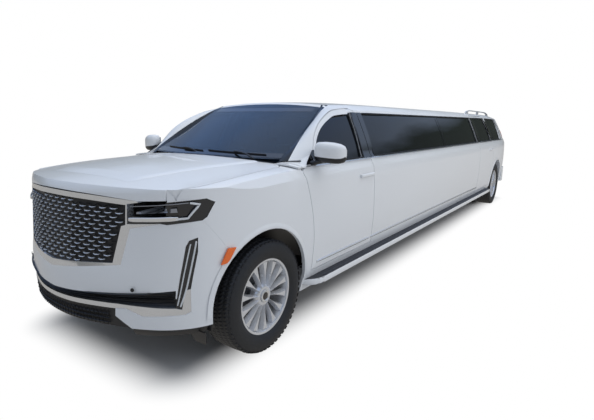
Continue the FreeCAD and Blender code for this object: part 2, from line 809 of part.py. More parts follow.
NOSE_SOLID = nose_block()
bumper_region = side_prism(BUMPER_SIDE, -FAR, FAR)
fender = box(500, 1100, FRONT - 20, back(700), 200, 1500).cut(hood_hole)
fender = fender.cut(box(0, 800, FRONT, back(-600), 1100, FAR))
fender = fender.cut(side_prism(grow(BUMPER_SIDE, S.seam), -FAR, FAR))
fender = fender.cut(behind_fender.common(box(-FAR, FAR, back(100), FAR, 0, FAR)))
fender = fender.cut(box(0, FAR, back(S.front_door_front) - S.shut_gap, FAR, S.belt, FAR))
fender = fender.cut(box(0, 858.3, back(S.front_door_front) - S.shut_gap, FAR, 0, FAR))
front_arch = arch_prism(FRONT_AXLE - 20, S.front_arch_radius, 300, FAR)
fender = fender.cut(box(0, COWL_EDGE, back(300), FAR, 0, FAR))
fender = front_cut(fender.cut(front_arch), LAMP, S.seat_clearance, False)
fender = biggest(fender.common(NOSE).cut(NOSE_ROOM))
# a gutter beside the hood carries its edge
rest_top = S.panel_wall + S.seat_clearance
rest_zone = box(500, 1100, back(-560), back(200), 1100, 1500)
under_fender = rest_zone.common(plan_prism(grow(HOOD_OUTLINE, 12), 1100, 1700)).cut(hood_hole)
under_fender = under_fender.common(front_hull(S.panel_wall - 4, S.panel_wall - 4))
under_hood = rest_zone.common(hood_hole).cut(plan_prism(grow(HOOD_OUTLINE, -S.shut_gap - 10), 1100, 1700))
under_hood = under_hood.common(front_hull(rest_top, rest_top))
gutter = under_fender.fuse(under_hood).cut(front_hull(rest_top + 9, rest_top + 9))
gutter = front_cut(gutter, LAMP, S.seat_clearance, False)
fender = biggest(fender.fuse(gutter))
node("fenders", both(fender))

print("front bumper")
FACE_DEPTH = 38
BUMPER_INNER = FACE_DEPTH + 18.3
bumper = bumper_region.common(box(-FAR, FAR, FRONT - 50, back(-200), BUMPER_LOW, BUMPER_HIGH))
bumper = bumper.common(NOSE_SOLID).cut(nose_block(FACE_DEPTH))
bumper = bumper.cut(front_arch).cut(mirror(front_arch))
bumper = front_cut(bumper, LAMP, S.seat_clearance, True)
bumper = front_cut(bumper, DAY_LAMP, S.seat_clearance, True)
for outline in (GRILLE, STRIP, INTAKE, LOW_GRILLE):
    bumper = front_cut(bumper, outline, S.seat_clearance, False)
node("front_bumper", solids_of(bumper))


def nose_piece(outline, start, end):
    """A piece that follows the face of the nose between two depths, with its outline seen from the front."""
    return section_prism(outline, FRONT - 100, back(-380)).common(nose_block(start)).cut(nose_block(end))


mesh = nose_piece(MESH, 16, 30)
node("grille", biggest(mesh))
surround = nose_piece(GRILLE, 0, FACE_DEPTH)
surround = front_cut(surround, grow(MESH, S.seat_clearance), 0, False).common(NOSE)
node("grille_surround", biggest(surround))
strip = nose_piece(STRIP, 2, 34)
node("bumper_strip", biggest(strip))
intake = front_cut(nose_piece(INTAKE, 24, FACE_DEPTH), DAY_LAMP, S.seat_clearance, True)
low_intake = nose_piece(LOW_GRILLE, 12, FACE_DEPTH).common(box(-FAR, FAR, FRONT, back(0), BUMPER_LOW, FAR))
node("lower_grille", Part.makeCompound([biggest(intake), biggest(low_intake)]))

print("lamps")
lamp = nose_piece(LAMP, 3, 64).common(NOSE)
lamp = lamp.cut(section_prism(grow(GRILLE, S.seat_clearance), FRONT - 100, back(-430))).cut(hood_in)
node("headlamps", both(biggest(lamp)))
day_lamp = nose_piece(DAY_LAMP, 5, FACE_DEPTH)
node("day_lamps", both(biggest(day_lamp)))

print("cowl")
cowl_plan = box(-COWL_EDGE + 0.3, COWL_EDGE - 0.3, back(200), back(640), 1195, FAR)
cowl_plan = cowl_plan.fuse(box(-858, 858, back(S.front_door_front) - S.shut_gap + 2, back(640), 1195, FAR))
shield_slot = ahead_of_shield(14).cut(ahead_of_shield(2 - S.seat_clearance))
shield_slot = shield_slot.common(box(-FAR, FAR, FRONT, FAR, SHIELD_FOOT_Z - S.seat_clearance, FAR))
cowl = cowl_plan.cut(hood_hole).common(NOSE).cut(NOSE_ROOM)
firewall = box(-840, 840, back(470), back(490), 640, 1400).common(NOSE)
toe = side_prism([(back(470), 640), (back(490), 640), (back(800), FLOOR_TOP),
                  (back(800), S.floor_height)], -819, 819)
door_foot = S.door_bottom - S.shut_gap
hinge_pillar = side_prism([(back(470), 1290), (back(520), 1290), (back(520), 700), (back(650), 600),
                           (back(650), door_foot), (back(S.front_door_foot) - S.shut_gap + 1, door_foot),
                           (back(470), 620)], 815, 856)
cowl = cowl.fuse([firewall, toe, hinge_pillar, mirror(hinge_pillar)]).cut(shield_slot)
node("cowl", biggest(cowl))

print("wheels")
HUB_X = S.track / 2


def tyre(name, axle):
    half = S.tyre_width / 2
    bead = S.rim_radius - 20
    middle = (bead + S.tyre_radius) / 2
    body = put(doc.addObject("PartDesign::Body", name), HUB_X, axle, S.tyre_radius)
    turned(body, [(-half + 22, bead), ("arc", (-half, middle), (-half + 14, S.tyre_radius - 22)),
                  ("arc", (-half + 24, S.tyre_radius - 8), (-half + 44, S.tyre_radius - 3)),
                  ("arc", (0, S.tyre_radius), (half - 44, S.tyre_radius - 3)),
                  ("arc", (half - 24, S.tyre_radius - 8), (half - 14, S.tyre_radius - 22)),
                  ("arc", (half, middle), (half - 22, bead))])
    return body


def rim(name, axle):
    """The rim: barrel, a fan of flared spokes and hub; its outer face looks along +X."""
    half = S.rim_width / 2
    inner = S.rim_radius - 20 - S.seat_clearance
    body = put(doc.addObject("PartDesign::Body", name), HUB_X, axle, S.tyre_radius)
    barrel = turned(body, [(-half, inner), (half, inner), (half - 3, inner - 15), (half - 20, inner - 20),
                           (half - 50, inner - 26), (-half, inner - 26)])
    spoke = body.newObject("PartDesign::Pad", name + "Spoke")
    spoke.Profile = sketch_of(body, "YZ_Plane", [
        (-S.spoke_foot / 2, 62), (S.spoke_foot / 2, 62),
        ("arc", (S.spoke_foot / 2 + 4, 165), (S.spoke_flare / 2, inner - 14)),
        (-S.spoke_flare / 2, inner - 14), ("arc", (-S.spoke_foot / 2 - 4, 165), (-S.spoke_foot / 2, 62))],
        half - 54)
    spoke.setExpression("Length", rule_of(S.spoke_depth))
    spoke.TaperAngle = -S.spoke_bevel
    fan = body.newObject("PartDesign::PolarPattern", name + "Fan")
    fan.Originals = [spoke]
    fan.Axis = (barrel, ["H_Axis"])
    fan.Angle = 360
    fan.setExpression("Occurrences", rule_of(S.spoke_count))
    turned(body, [(half - 84, 0), (half - 16, 0), (half - 16, S.cap_radius), (half - 21, S.cap_radius),
                  ("arc", (half - 24, 74), (half - 44, 92)), (half - 84, 92)])
    body.Tip = body.Group[-1]
    return body


for end, axle in (("Front", FRONT_AXLE), ("Rear", REAR_AXLE)):
    left_tyre = tyre("Tyre" + end, axle)
    left_rim = rim("Rim" + end, axle)
    named("tyre_%s_left" % end.lower(), left_tyre)
    named("tyre_%s_right" % end.lower(), mirrored("TyreMirrored" + end, left_tyre))
    named("rim_%s_left" % end.lower(), left_rim)
    named("rim_%s_right" % end.lower(), mirrored("RimMirrored" + end, left_rim))

print("chassis")
HUB_FACE = HUB_X + 29.7
KING_X = HUB_X - S.kingpin_inset
ARM_BOTTOM, ARM_TOP = 240, 275
UPPER_BOTTOM, UPPER_TOP = 545, 570
X_AXIS, Y_AXIS = vec(1, 0, 0), vec(0, 1, 0)


def knuckle(name, axle):
    """An upright with its brake disc, left side: it carries the wheel's hub."""
    hub_z = S.tyre_radius
    upright = block(name + "Upright", KING_X - 22, KING_X + 22, axle - 45, axle + 45,
                    ARM_TOP + S.seat_clearance, UPPER_BOTTOM - S.seat_clearance)
    hub = rod(name + "Hub", S.hub_radius, HUB_FACE - KING_X + 10, (KING_X - 10, axle, hub_z), X_AXIS)
    disc = rod(name + "Disc", S.disc_radius, S.disc_thickness, (HUB_X - 36, axle, hub_z), X_AXIS)
    caliper = block(name + "Caliper", HUB_X - 58, HUB_X + 14, axle + 110, axle + 188, hub_z - 70, hub_z + 70)
    arm = block(name + "Arm", KING_X - 20, KING_X + 8, axle, axle + 170, hub_z - 20, hub_z + 20)
    bridge = block(name + "Bridge", KING_X - 20, HUB_X - 50, axle + 110, axle + 170, hub_z - 20, hub_z + 20)
    return fused(name, [upright, hub, disc, caliper, arm, bridge])


front_knuckle = named("knuckle_front_left", knuckle("FrontKnuckle", FRONT_AXLE))
named("knuckle_front_right", mirrored("FrontKnuckleMirrored", front_knuckle))

RAIL_IN = S.rail_spacing / 2 - S.rail_width / 2
RAIL_OUT = S.rail_spacing / 2 + S.rail_width / 2
RISE = 170
NOSE_END, TAIL_END = back(-1000), back(8830)
STRETCH_FRONT, STRETCH_REAR = back(900), REAR_AXLE - 953
low, high = S.rail_bottom, S.rail_bottom + S.rail_height
over_axle = high + RISE - 60
HIGH_LEVEL = low + RISE + 10
FLOOR_EDGE = 819.7


def cross_member(place, level):
    return block("CrossMember", -RAIL_IN - 10, RAIL_IN + 10, place, place + 90, level, level + 70)


def frame_section(name, left_rail, members):
    return fused(name, [left_rail, mirrored(name + "Right", left_rail)] + members)


# the stretch adds a straight length; the ends kick up over the axles
members = [cross_member(back(place), low + 20) for place in (950, 1800, 2650, 3700, 4800, 5900)]
for place in (1000, 2300, 3600, 4900, 6100):
    outrigger = block("Outrigger", RAIL_OUT - 10, FLOOR_EDGE, back(place), back(place) + 70, 400, 460)
    members += [outrigger, mirrored("OutriggerMirrored", outrigger)]
straight = block("StraightRail", RAIL_IN, RAIL_OUT, STRETCH_FRONT, STRETCH_REAR, low, high)
named("frame_rails", frame_section("Frame", straight, members))

front_rail = slab("FrontRail", "YZ_Plane", [
    (NOSE_END, low + RISE), (back(450), low + RISE), (back(700), low), (STRETCH_FRONT, low),
    (STRETCH_FRONT, high), (back(750), high), (back(500), over_axle), (NOSE_END, over_axle)],
    RAIL_IN, S.rail_width)
ahead_of_bumper = box(0, FAR, FRONT, back(-500), 0, FAR).cut(nose_block(BUMPER_INNER))
front_rail = less("FrontRailTrimmed", front_rail, solid("AheadOfBumper", ahead_of_bumper))
rear_rail = slab("RearRail", "YZ_Plane", [
    (STRETCH_REAR, low), (REAR_AXLE - 800, low), (REAR_AXLE - 480, low + RISE),
    (REAR_AXLE + 480, low + RISE),
    (back(8700), low + 110), (TAIL_END, low + 110), (TAIL_END, high + 60), (back(8700), high + 60),
    (REAR_AXLE + 480, over_axle), (REAR_AXLE - 480, over_axle), (REAR_AXLE - 850, high),
    (STRETCH_REAR, high)],
    RAIL_IN, S.rail_width)
named("frame_ends", together("FrameEnds", [
    frame_section("FrameFront", front_rail, [cross_member(back(-740), HIGH_LEVEL)]),
    frame_section("FrameRear", rear_rail, [cross_member(STRETCH_REAR + 10, low + 20),
                                           cross_member(REAR_AXLE + 957, HIGH_LEVEL)])]))

TUNNEL_TOP, HUMP_TOP = 590, 612
STEP_FRONT, FLOOR_END = REAR_AXLE - 903, back(8700)
named("floor_pan", block("FloorPan", -FLOOR_EDGE, FLOOR_EDGE, back(800), STEP_FRONT,
                         S.floor_height, FLOOR_TOP))
hump_edge = S.rear_wheelhouse - S.liner_wall
rear_room = arch_prism(REAR_AXLE, S.rear_arch_radius + S.liner_wall, hump_edge, FAR)
cradle_room = box(-hump_edge - 20, hump_edge + 20, REAR_AXLE - 230, REAR_AXLE + 230, 400, TUNNEL_TOP)
tunnel = box(-RAIL_OUT - 2, RAIL_OUT + 2, STEP_FRONT + 20, FLOOR_END + 20, 400, TUNNEL_TOP)
rear_floor = fused("RearFloorPressed", [
    block("RearSheet", -FLOOR_EDGE, FLOOR_EDGE, STEP_FRONT, FLOOR_END, S.floor_height, FLOOR_TOP),
    block("FloorStep", -RAIL_OUT - 22, RAIL_OUT + 22, STEP_FRONT, FLOOR_END, S.floor_height, HUMP_TOP),
    block("FloorHump", -hump_edge, hump_edge, REAR_AXLE - 250, REAR_AXLE + 250, S.floor_height, HUMP_TOP)])
floor_rooms = solid("FloorRooms", tunnel.fuse([cradle_room, rear_room, mirror(rear_room)]))
tail_panel = block("TailPanel", -760, 760, FLOOR_END, FLOOR_END + 22, 540, bumper_top - 1)
named("rear_floor", fused("RearFloor", [less("RearFloorCut", rear_floor, floor_rooms), tail_panel]))


def suspension(name, axle, carried):
    """Lower arms on a cross beam with what it carries, and two upper arms."""
    lower = slab(name + "Lower", "XY_Plane", [
        (RAIL_OUT - 25, axle - 130), (KING_X + 6, axle - 24), (KING_X + 6, axle + 24),
        (RAIL_OUT - 25, axle + 130)],
        ARM_BOTTOM, ARM_TOP - ARM_BOTTOM)
    upper = slab(name + "Upper", "XY_Plane", [
        (RAIL_OUT, axle - 70), (KING_X + 6, axle - 22), (KING_X + 6, axle + 22), (RAIL_OUT, axle + 70)],
        UPPER_BOTTOM, UPPER_TOP - UPPER_BOTTOM)
    half = [lower]
    for side in (-130, 70):
        half.append(block(name + "Post", RAIL_IN + 10, RAIL_OUT - 10, axle + side, axle + side + 60,
                          ARM_TOP - 1, low + RISE))
    beam = block(name + "Beam", 20 - RAIL_OUT, RAIL_OUT - 20, axle - 150, axle + 150, ARM_BOTTOM, 320)
    whole = [beam] + carried + half + [mirrored(piece.Name + "Mirrored", piece) for piece in half]
    return [fused(name + "Cradle", whole), upper, mirrored(name + "UpperMirrored", upper)]


named("front_suspension", together("FrontSuspension", suspension("Front", FRONT_AXLE, [])))
final_drive = block("FinalDrive", -110, 110, REAR_AXLE - 130, REAR_AXLE + 110, 320, 510)
half_shaft = rod("HalfShaft", 22, KING_X - 132, (110, REAR_AXLE, S.tyre_radius), X_AXIS)
drive = [final_drive, half_shaft, mirrored("HalfShaftMirrored", half_shaft)]
named("rear_suspension", together("RearSuspension", suspension("Rear", REAR_AXLE, drive)))
rear_knuckle = knuckle("RearKnuckle", REAR_AXLE)
named("rear_hubs", together("RearHubs", [rear_knuckle, mirrored("RearKnuckleMirrored", rear_knuckle)]))


def liner(axle, radius, inner, outer, shift):
    """The inner wall of a wheel's room."""
    skin = arch_prism(axle + shift, radius + S.liner_wall, inner - S.liner_wall, outer)
    return skin.cut(arch_prism(axle + shift, radius, inner, FAR)).cut(box(0, FAR, FRONT, REAR, 0, 330))


front_liner = liner(FRONT_AXLE, S.front_arch_radius + 10, S.front_wheelhouse, 960, 0)
front_liner = front_liner.cut(box(0, FAR, back(469), FAR, 0, FAR)).common(NOSE_ROOM)
arm_slot = box(S.front_wheelhouse - 20, S.front_wheelhouse + 20, FRONT_AXLE - 80, FRONT_AXLE + 80, 300, 600)
front_liner = biggest(front_liner.cut(bumper).cut(arm_slot))
rear_liner = liner(REAR_AXLE, S.rear_arch_radius, S.rear_wheelhouse, 1000, 0).common(cabin_room)
rear_liner = biggest(rear_liner.cut(cradle_room))
node("wheel_liners", Part.makeCompound([front_liner, mirror(front_liner), rear_liner, mirror(rear_liner)]))

engine = block("Engine", -300, 300, back(-420), back(330), 420, 1060)
gearbox = block("Gearbox", -110, 110, back(330), back(900), 300, 465)
engine_mount = block("EngineMount", 300, RAIL_IN, back(-60), back(60), 500, 540)
mounts = [engine_mount, mirrored("MountMirrored", engine_mount)]
named("engine_block", fused("Driveline", [engine, gearbox] + mounts))
named("driveshaft", rod("Shaft", 36, REAR_AXLE - 130 - back(900), (0, back(900), 430), Y_AXIS))

PIPE_X, PIPE_Z, PIPE_HIGH, PIPE_RADIUS = -210, 430, 512, 28
PIPE_ROUTE = [(back(1060), PIPE_Z), (back(6900), PIPE_Z), (back(7180), PIPE_HIGH), (back(8050), PIPE_HIGH),
              (back(8220), PIPE_Z), (back(8760), PIPE_Z)]
pipe = []
for start, end in zip(PIPE_ROUTE, PIPE_ROUTE[1:]):
    run = vec(0, end[0] - start[0], end[1] - start[1])
    pipe.append(rod("PipeRun", PIPE_RADIUS, run.Length, (PIPE_X, start[0], start[1]), run))
for bend in PIPE_ROUTE[1:-1]:
    pipe.append(ball("PipeBend", PIPE_RADIUS, (PIPE_X, bend[0], bend[1])))
pipe.append(rod("Muffler", 62, 700, (PIPE_X, back(3950), 400), Y_AXIS))
pipe.append(rod("RearMuffler", 62, 330, (PIPE_X, back(8240), PIPE_Z), Y_AXIS))
for place in (1500, 3400, 5400):
    pipe.append(block("Hanger", PIPE_X - 8, PIPE_X + 8, back(place), back(place) + 20, PIPE_Z,
                      S.floor_height - S.seat_clearance))
named("exhaust", fused("Exhaust", pipe))
under_floor = S.floor_height - S.seat_clearance
named("fuel_tank", block("FuelTank", 70, 340, back(2760), back(3680), low, under_floor))

print("cabin")
dash = slab("DashTop", "YZ_Plane", [
    (back(490), 820), (back(600), 820), (back(720), 900), (back(770), 1090), (back(720), 1190),
    ("arc", (back(620), 1262), (back(490), 1236))], -814, 1628)
console = block("Console", -110, 110, back(800), back(1500), FLOOR_TOP, 840)
stack = block("ConsoleStack", -110, 110, back(690), back(810), 600, 900)
dashboard = named("dashboard", fused("Dashboard", [dash, console, stack]))

WHEEL_PLACE = FreeCAD.Placement(vec(420, back(1000), 1110), FreeCAD.Rotation(X_AXIS, -90 + 24))
steering = doc.addObject("Part::Torus", "SteeringRing")
steering.Radius1, steering.Radius2 = 178, 15
steering_hub = doc.addObject("Part::Cylinder", "SteeringHub")
steering_hub.Radius, steering_hub.Height = 62, 44
bars = doc.addObject("Part::Box", "SteeringBars")
bars.Length, bars.Width, bars.Height = 356, 34, 16
column = doc.addObject("Part::Cylinder", "SteeringColumn")
column.Radius, column.Height = 32, 330
for piece, start in ((steering, vec(0, 0, 0)), (steering_hub, vec(0, 0, -22)), (bars, vec(-178, -17, -12)),
                     (column, vec(0, 0, -340))):
    piece.Placement = WHEEL_PLACE.multiply(FreeCAD.Placement(start, FreeCAD.Rotation()))
named("steering_wheel", less("SteeringWheel", fused("SteeringWhole", [steering, steering_hub, bars, column]),
                             dashboard))

SEAT_X, SEAT_Y, SEAT_HALF, SEAT_TOP = 420, back(1120), 260, 1290
seat = [block("SeatCushion", SEAT_X - SEAT_HALF, SEAT_X + SEAT_HALF, SEAT_Y, SEAT_Y + 520, 640, 800),
        block("SeatBase", SEAT_X - 200, SEAT_X + 200, SEAT_Y + 60, SEAT_Y + 460, FLOOR_TOP, 640),
        slab("SeatBack", "YZ_Plane", [(SEAT_Y + 430, 790), (SEAT_Y + 560, 790), (SEAT_Y + 700, SEAT_TOP),
                                      (SEAT_Y + 600, SEAT_TOP)], SEAT_X - SEAT_HALF, 2 * SEAT_HALF),
        slab("HeadRest", "YZ_Plane", [(SEAT_Y + 612, SEAT_TOP - 5), (SEAT_Y + 700, SEAT_TOP - 5),
                                      (SEAT_Y + 740, SEAT_TOP + 190), (SEAT_Y + 650, SEAT_TOP + 190)],
             SEAT_X - 130, 260)]
seat_left = fused("SeatLeft", seat)
named("front_seats", together("FrontSeats", [seat_left, mirrored("SeatRight", seat_left)]))

PARTITION = back(1930)
partition_sheet = block("PartitionSheet", -FAR, FAR, PARTITION, PARTITION + 30, FLOOR_TOP, FAR)
pass_window = block("PassWindow", -520, 520, PARTITION - 10, PARTITION + 50, 1240, 1700)
partition_wall = within("PartitionWall", partition_sheet, solid("CabinRoom", biggest(cabin_room)))
named("partition", less("Partition", partition_wall, pass_window))

LOUNGE_FRONT, LOUNGE_REAR, LOUNGE_WALL = back(2200), back(5900), -870
lounge = block("LoungeBase", LOUNGE_WALL, -430, LOUNGE_FRONT, LOUNGE_REAR, FLOOR_TOP, 850)
lounge_back = slab("LoungeBack", "XZ_Plane",
                   [(LOUNGE_WALL, 850), (-700, 850), (-770, 1240), (LOUNGE_WALL, 1240)],
                   -LOUNGE_REAR, LOUNGE_REAR - LOUNGE_FRONT)
lounge_side = fused("LoungeSide", [lounge, lounge_back])
bench = block("BenchBase", -660, 660, back(6900), back(7440), HUMP_TOP, 880)
bench_back = slab("BenchBack", "YZ_Plane", [(back(7380), 870), (back(7520), 870), (back(7640), 1440),
                                            (back(7540), 1440)], -660, 1320)
named("lounge_seats", together("LoungeSeats", [lounge_side, fused("RearBench", [bench, bench_back])]))
counter = block("CounterBody", 560, 868, back(2300), back(5300), FLOOR_TOP, 980)
bays = [block("CounterBay", 500, 820, back(start), back(end), FLOOR_TOP + 60, 920)
        for start, end in ((2340, 3300), (3340, 4300), (4340, 5260))]
named("bar_counter", less("BarCounter", counter, fused("CounterBays", bays)))

print("mirrors")
HULL_SOLID = solid("Hull", HULL)
mirror_body = slab("MirrorHousing", "XY_Plane", [
    (1000, back(560)), ("arc", (1110, back(520)), (1205, back(600))), (1215, back(690)), (1010, back(720))],
    1350, 162)
doc.recompute()
rounding = mirror_body.newObject("PartDesign::Fillet", "MirrorRounding")
pad = mirror_body.Group[0]
rounding.Base = (pad, ["Edge%d" % (number + 1) for number in range(len(pad.Shape.Edges))])
rounding.Radius = 30
mirror_body.Tip = rounding
mirror_arm = block("MirrorArm", 940, 1070, back(585), back(665), 1300, 1368)
mirror_whole = less("MirrorLeft", fused("MirrorAndArm", [mirror_body, mirror_arm]), HULL_SOLID)
named("mirror_left", mirror_whole)
named("mirror_right", mirrored("MirrorRight", mirror_whole))

print("trunk and tail")
gate_region = section_prism(GATE_OUTLINE, GATE_FRONT, REAR + 100)
gate_room = side_prism([(back(8350), 1900), (back(8690), 1900)] + GATE_ROOM + [(back(8350), 650)], -FAR, FAR)
gate = HULL.common(gate_region).cut(gate_room.common(CABIN))
REAR_PANE = [(-600, 1345), (600, 1345), (540, 1740), (-540, 1740)]
rear_window = section_prism(REAR_PANE, back(8600), REAR + 200)
node("liftgate", biggest(gate.cut(rear_window)))
pane_back = side_prism([(back(8350), 1900), (back(8768), 1900), (back(8778), 1760), (back(8868), 1300),
                        (back(8350), 1300)], -FAR, FAR)
gate_pane = HULL.common(gate_region).cut(pane_back)
gate_pane = gate_pane.common(section_prism(grow(REAR_PANE, -S.seat_clearance), back(8600), REAR + 200))
node("glass_liftgate", biggest(gate_pane))

rear_plan = [(-1000, back(8220)), ("curve", [(-985, back(8500)), (-930, back(8780)), (-700, back(8880)),
                                            (0, REAR), (700, back(8905)), (930, back(8780)),
                                            (985, back(8500)), (1000, back(8220))])]
rear_bumper = plan_prism(rear_plan, 400, bumper_top - 6)
bumper_room = [(-930, back(8200)), (-930, back(8600)), (-760, back(8830)), (760, back(8830)),
               (930, back(8600)), (930, back(8200))]
rear_bumper = rear_bumper.cut(plan_prism(bumper_room, 300, 900))
rear_bumper = rear_bumper.common(box(-FAR, FAR, GATE_FRONT + 6, REAR, 400, 900))
# the closed gate rests on two buffers that stand on the bumper
for x in (-380, 300):
    buffer = box(x, x + 80, back(8836), back(8866), bumper_top - 30, GATE_BOTTOM - S.seat_clearance)
    rear_bumper = rear_bumper.fuse(buffer)
node("rear_bumper", biggest(rear_bumper))

print("boards and rails on the roof")
board_end = REAR_AXLE - S.rear_arch_radius - 60
board = slab("BoardLeft", "XY_Plane", [
    (S.board_inner, back(480)), (960, back(480)), ("arc", (1048, back(560)), (S.board_edge, back(680))),
    (S.board_edge, board_end - 200), (960, board_end), (S.board_inner, board_end)],
    S.board_top - S.board_thickness, S.board_thickness)
board = less("BoardTrimmed", board, HULL_SOLID)
board = less("BoardSet", board, solid("Nose", NOSE))
named("running_boards", together("RunningBoards", [board, mirrored("BoardRight", board)]))

rail = block("RoofRail", 640, 668, back(6300), back(8150), S.roof_top - 40, S.roof_top + S.roof_rail_height)
rail = less("RoofRailSet", rail, HULL_SOLID)
named("roof_rails", together("RoofRails", [rail, mirrored("RoofRailMirrored", rail)]))

doc.recompute()

# Checks, then one file for each sub-part
for thing in doc.Objects:
    if "Invalid" in thing.State or "Error" in thing.State:
        raise RuntimeError("%s did not compute" % thing.Label)
for feature in NODES:
    if feature.Shape.isNull() or not feature.Shape.isValid():
        raise RuntimeError("%s has no valid shape" % feature.Label)
os.makedirs("parts", exist_ok=True)
for feature in NODES:
    feature.Shape.exportStep("parts/%s.step" % feature.Label)
    volume = feature.Shape.Volume / 1e9
    print("%-22s solids %d volume %.4f m3" % (feature.Label, len(feature.Shape.Solids), volume))
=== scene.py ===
import json
import math
import bmesh
import bpy
from mathutils import Matrix, Vector
from mathutils.bvhtree import BVHTree


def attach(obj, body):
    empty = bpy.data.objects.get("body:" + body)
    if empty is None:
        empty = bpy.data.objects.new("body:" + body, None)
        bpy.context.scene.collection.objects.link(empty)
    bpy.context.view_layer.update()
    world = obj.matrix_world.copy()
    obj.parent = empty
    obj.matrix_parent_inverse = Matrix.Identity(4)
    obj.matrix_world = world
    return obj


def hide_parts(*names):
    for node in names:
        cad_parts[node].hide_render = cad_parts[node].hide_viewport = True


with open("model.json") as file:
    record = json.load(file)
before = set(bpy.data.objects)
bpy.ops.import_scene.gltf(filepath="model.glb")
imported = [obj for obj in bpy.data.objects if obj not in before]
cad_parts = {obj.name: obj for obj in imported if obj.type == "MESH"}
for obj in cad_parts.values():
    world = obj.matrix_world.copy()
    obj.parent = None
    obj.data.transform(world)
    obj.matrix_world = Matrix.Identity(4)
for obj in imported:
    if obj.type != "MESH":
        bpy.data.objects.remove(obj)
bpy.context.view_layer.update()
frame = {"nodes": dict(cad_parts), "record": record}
scene = bpy.context.scene
NODES = frame["nodes"]

# Places in metres: +X is the car's left, the nose points along -Y
FRONT_AXLE_Y = -3.951
REAR_AXLE_Y = 3.692
HUB_X = 0.870
WHEEL_Z = 0.417
TYRE_RADIUS = 0.417
ARCH_RADIUS = 0.487
BELT_Z = 1.3235
SILL_Z = 0.520
GLASS_LOW, GLASS_HIGH = 1.338, 1.752
UP = Vector((0, 0, 1))
OUT_AND_UP = Vector((0.93, 0.0, 0.37))

# Stations: distances behind the front axle
DOOR_CUT, REAR_DOOR_CUT, REAR_DOOR_END = 1.645, 6.100, 7.220
HALF_GAP = 0.004
POST = 1.695

WELD = 0.00002
SINK = 0.001
STEP_OUT = 0.004


def back(distance):
    """A place along the car, given as its distance behind the front axle."""
    return FRONT_AXLE_Y + distance


def between(first, last, count):
    return [first + (last - first) * index / (count - 1) for index in range(count)]


def on_the_way(here, there, share):
    """A pair of numbers, at a share of the way from one pair to another."""
    return [first + (last - first) * share for first, last in zip(here, there)]


def circle(turns, offset=0.0):
    """Cosine and sine of even steps round a circle."""
    angles = [2 * math.pi * (step + offset) / turns for step in range(turns)]
    return [(math.cos(angle), math.sin(angle)) for angle in angles]


# Materials: each varies over its surface

def add_node(tree, kind, inputs=(), **settings):
    """A new node: its settings first, then its inputs, each a value or another node's output."""
    node = tree.nodes.new(kind)
    for name, value in settings.items():
        setattr(node, name, value)
    for name, value in dict(inputs).items():
        if isinstance(value, bpy.types.NodeSocket):
            tree.links.new(value, node.inputs[name])
        else:
            node.inputs[name].default_value = value
    return node


def worked_out(tree, operation, *items):
    return add_node(tree, "ShaderNodeMath", enumerate(items), operation=operation).outputs["Value"]


def blend(tree, factor, first, second):
    """A mix of two colours."""
    mix = add_node(tree, "ShaderNodeMix", {"Factor": factor, "A": first, "B": second}, data_type="RGBA")
    return mix.outputs["Result"]


def relief(tree, shader, height, strength, deep):
    bumps = add_node(tree, "ShaderNodeBump", {"Strength": strength, "Distance": deep, "Height": height})
    tree.links.new(bumps.outputs["Normal"], shader.inputs["Normal"])


def material(name, base, rough, metallic=0.0, coat=0.0, transmission=0.0, ior=1.5, vary=0.05, scale=6.0,
             rough_vary=0.04, bump=0.0, bump_scale=200.0, stretch=(1, 1, 1)):
    """A finish whose colour and roughness drift over the surface, with a fine grain where bump is set."""
    made = bpy.data.materials.new(name)
    made.use_nodes = True
    tree = made.node_tree
    shader = tree.nodes["Principled BSDF"]
    place = add_node(tree, "ShaderNodeTexCoord").outputs["Object"]
    place = add_node(tree, "ShaderNodeMapping", {"Vector": place, "Scale": stretch}).outputs["Vector"]
    clouds = add_node(tree, "ShaderNodeTexNoise", {"Vector": place, "Scale": scale, "Detail": 3.0})
    noise = clouds.outputs["Fac"]
    dark, pale = [[min(1, c * (1 + change)) for c in base] + [1] for change in (-vary, vary)]
    tree.links.new(blend(tree, noise, dark, pale), shader.inputs["Base Color"])
    spread = add_node(tree, "ShaderNodeMapRange", {
        "Value": noise, "To Min": max(0.0, rough - rough_vary), "To Max": rough + rough_vary})
    tree.links.new(spread.outputs["Result"], shader.inputs["Roughness"])
    for socket, value in (("Metallic", metallic), ("Coat Weight", coat), ("Coat Roughness", 0.03),
                          ("Transmission Weight", transmission), ("IOR", ior)):
        shader.inputs[socket].default_value = value
    if bump:
        grain = add_node(tree, "ShaderNodeTexNoise", {"Vector": place, "Scale": bump_scale})
        relief(tree, shader, grain.outputs["Fac"], bump, 0.002)
    return made


PAINT = material("PearlWhite", (0.80, 0.815, 0.835), 0.30, coat=0.5, vary=0.012, scale=1.5)
DARK_GLASS = material("PrivacyGlass", (0.006, 0.007, 0.009), 0.02, vary=0.15, rough_vary=0.01)
CLEAR_GLASS = material("ShieldGlass", (0.050, 0.090, 0.150), 0.015, transmission=0.85, ior=1.45,
                       rough_vary=0.005)
LENS = material("LampLens", (0.014, 0.016, 0.020), 0.04, coat=0.6, vary=0.15, rough_vary=0.01)
TAIL_GUIDE = material("TailGuide", (0.62, 0.05, 0.05), 0.15, coat=0.8, vary=0.12, scale=40)
RED_LENS = material("RedLens", (0.30, 0.010, 0.012), 0.08, coat=0.8, vary=0.2, scale=30)
LAMP_CELL = material("LampCell", (0.30, 0.32, 0.36), 0.08, metallic=0.4, coat=0.8, vary=0.2, scale=30)
AMBER = material("AmberLens", (0.90, 0.16, 0.02), 0.25, coat=0.5, vary=0.12, scale=40)
CHROME = material("Chrome", (0.80, 0.83, 0.88), 0.12, metallic=0.85, vary=0.04)
BRIGHT = material("BrightMetal", (0.84, 0.83, 0.81), 0.24, metallic=0.55, coat=0.3, scale=20)
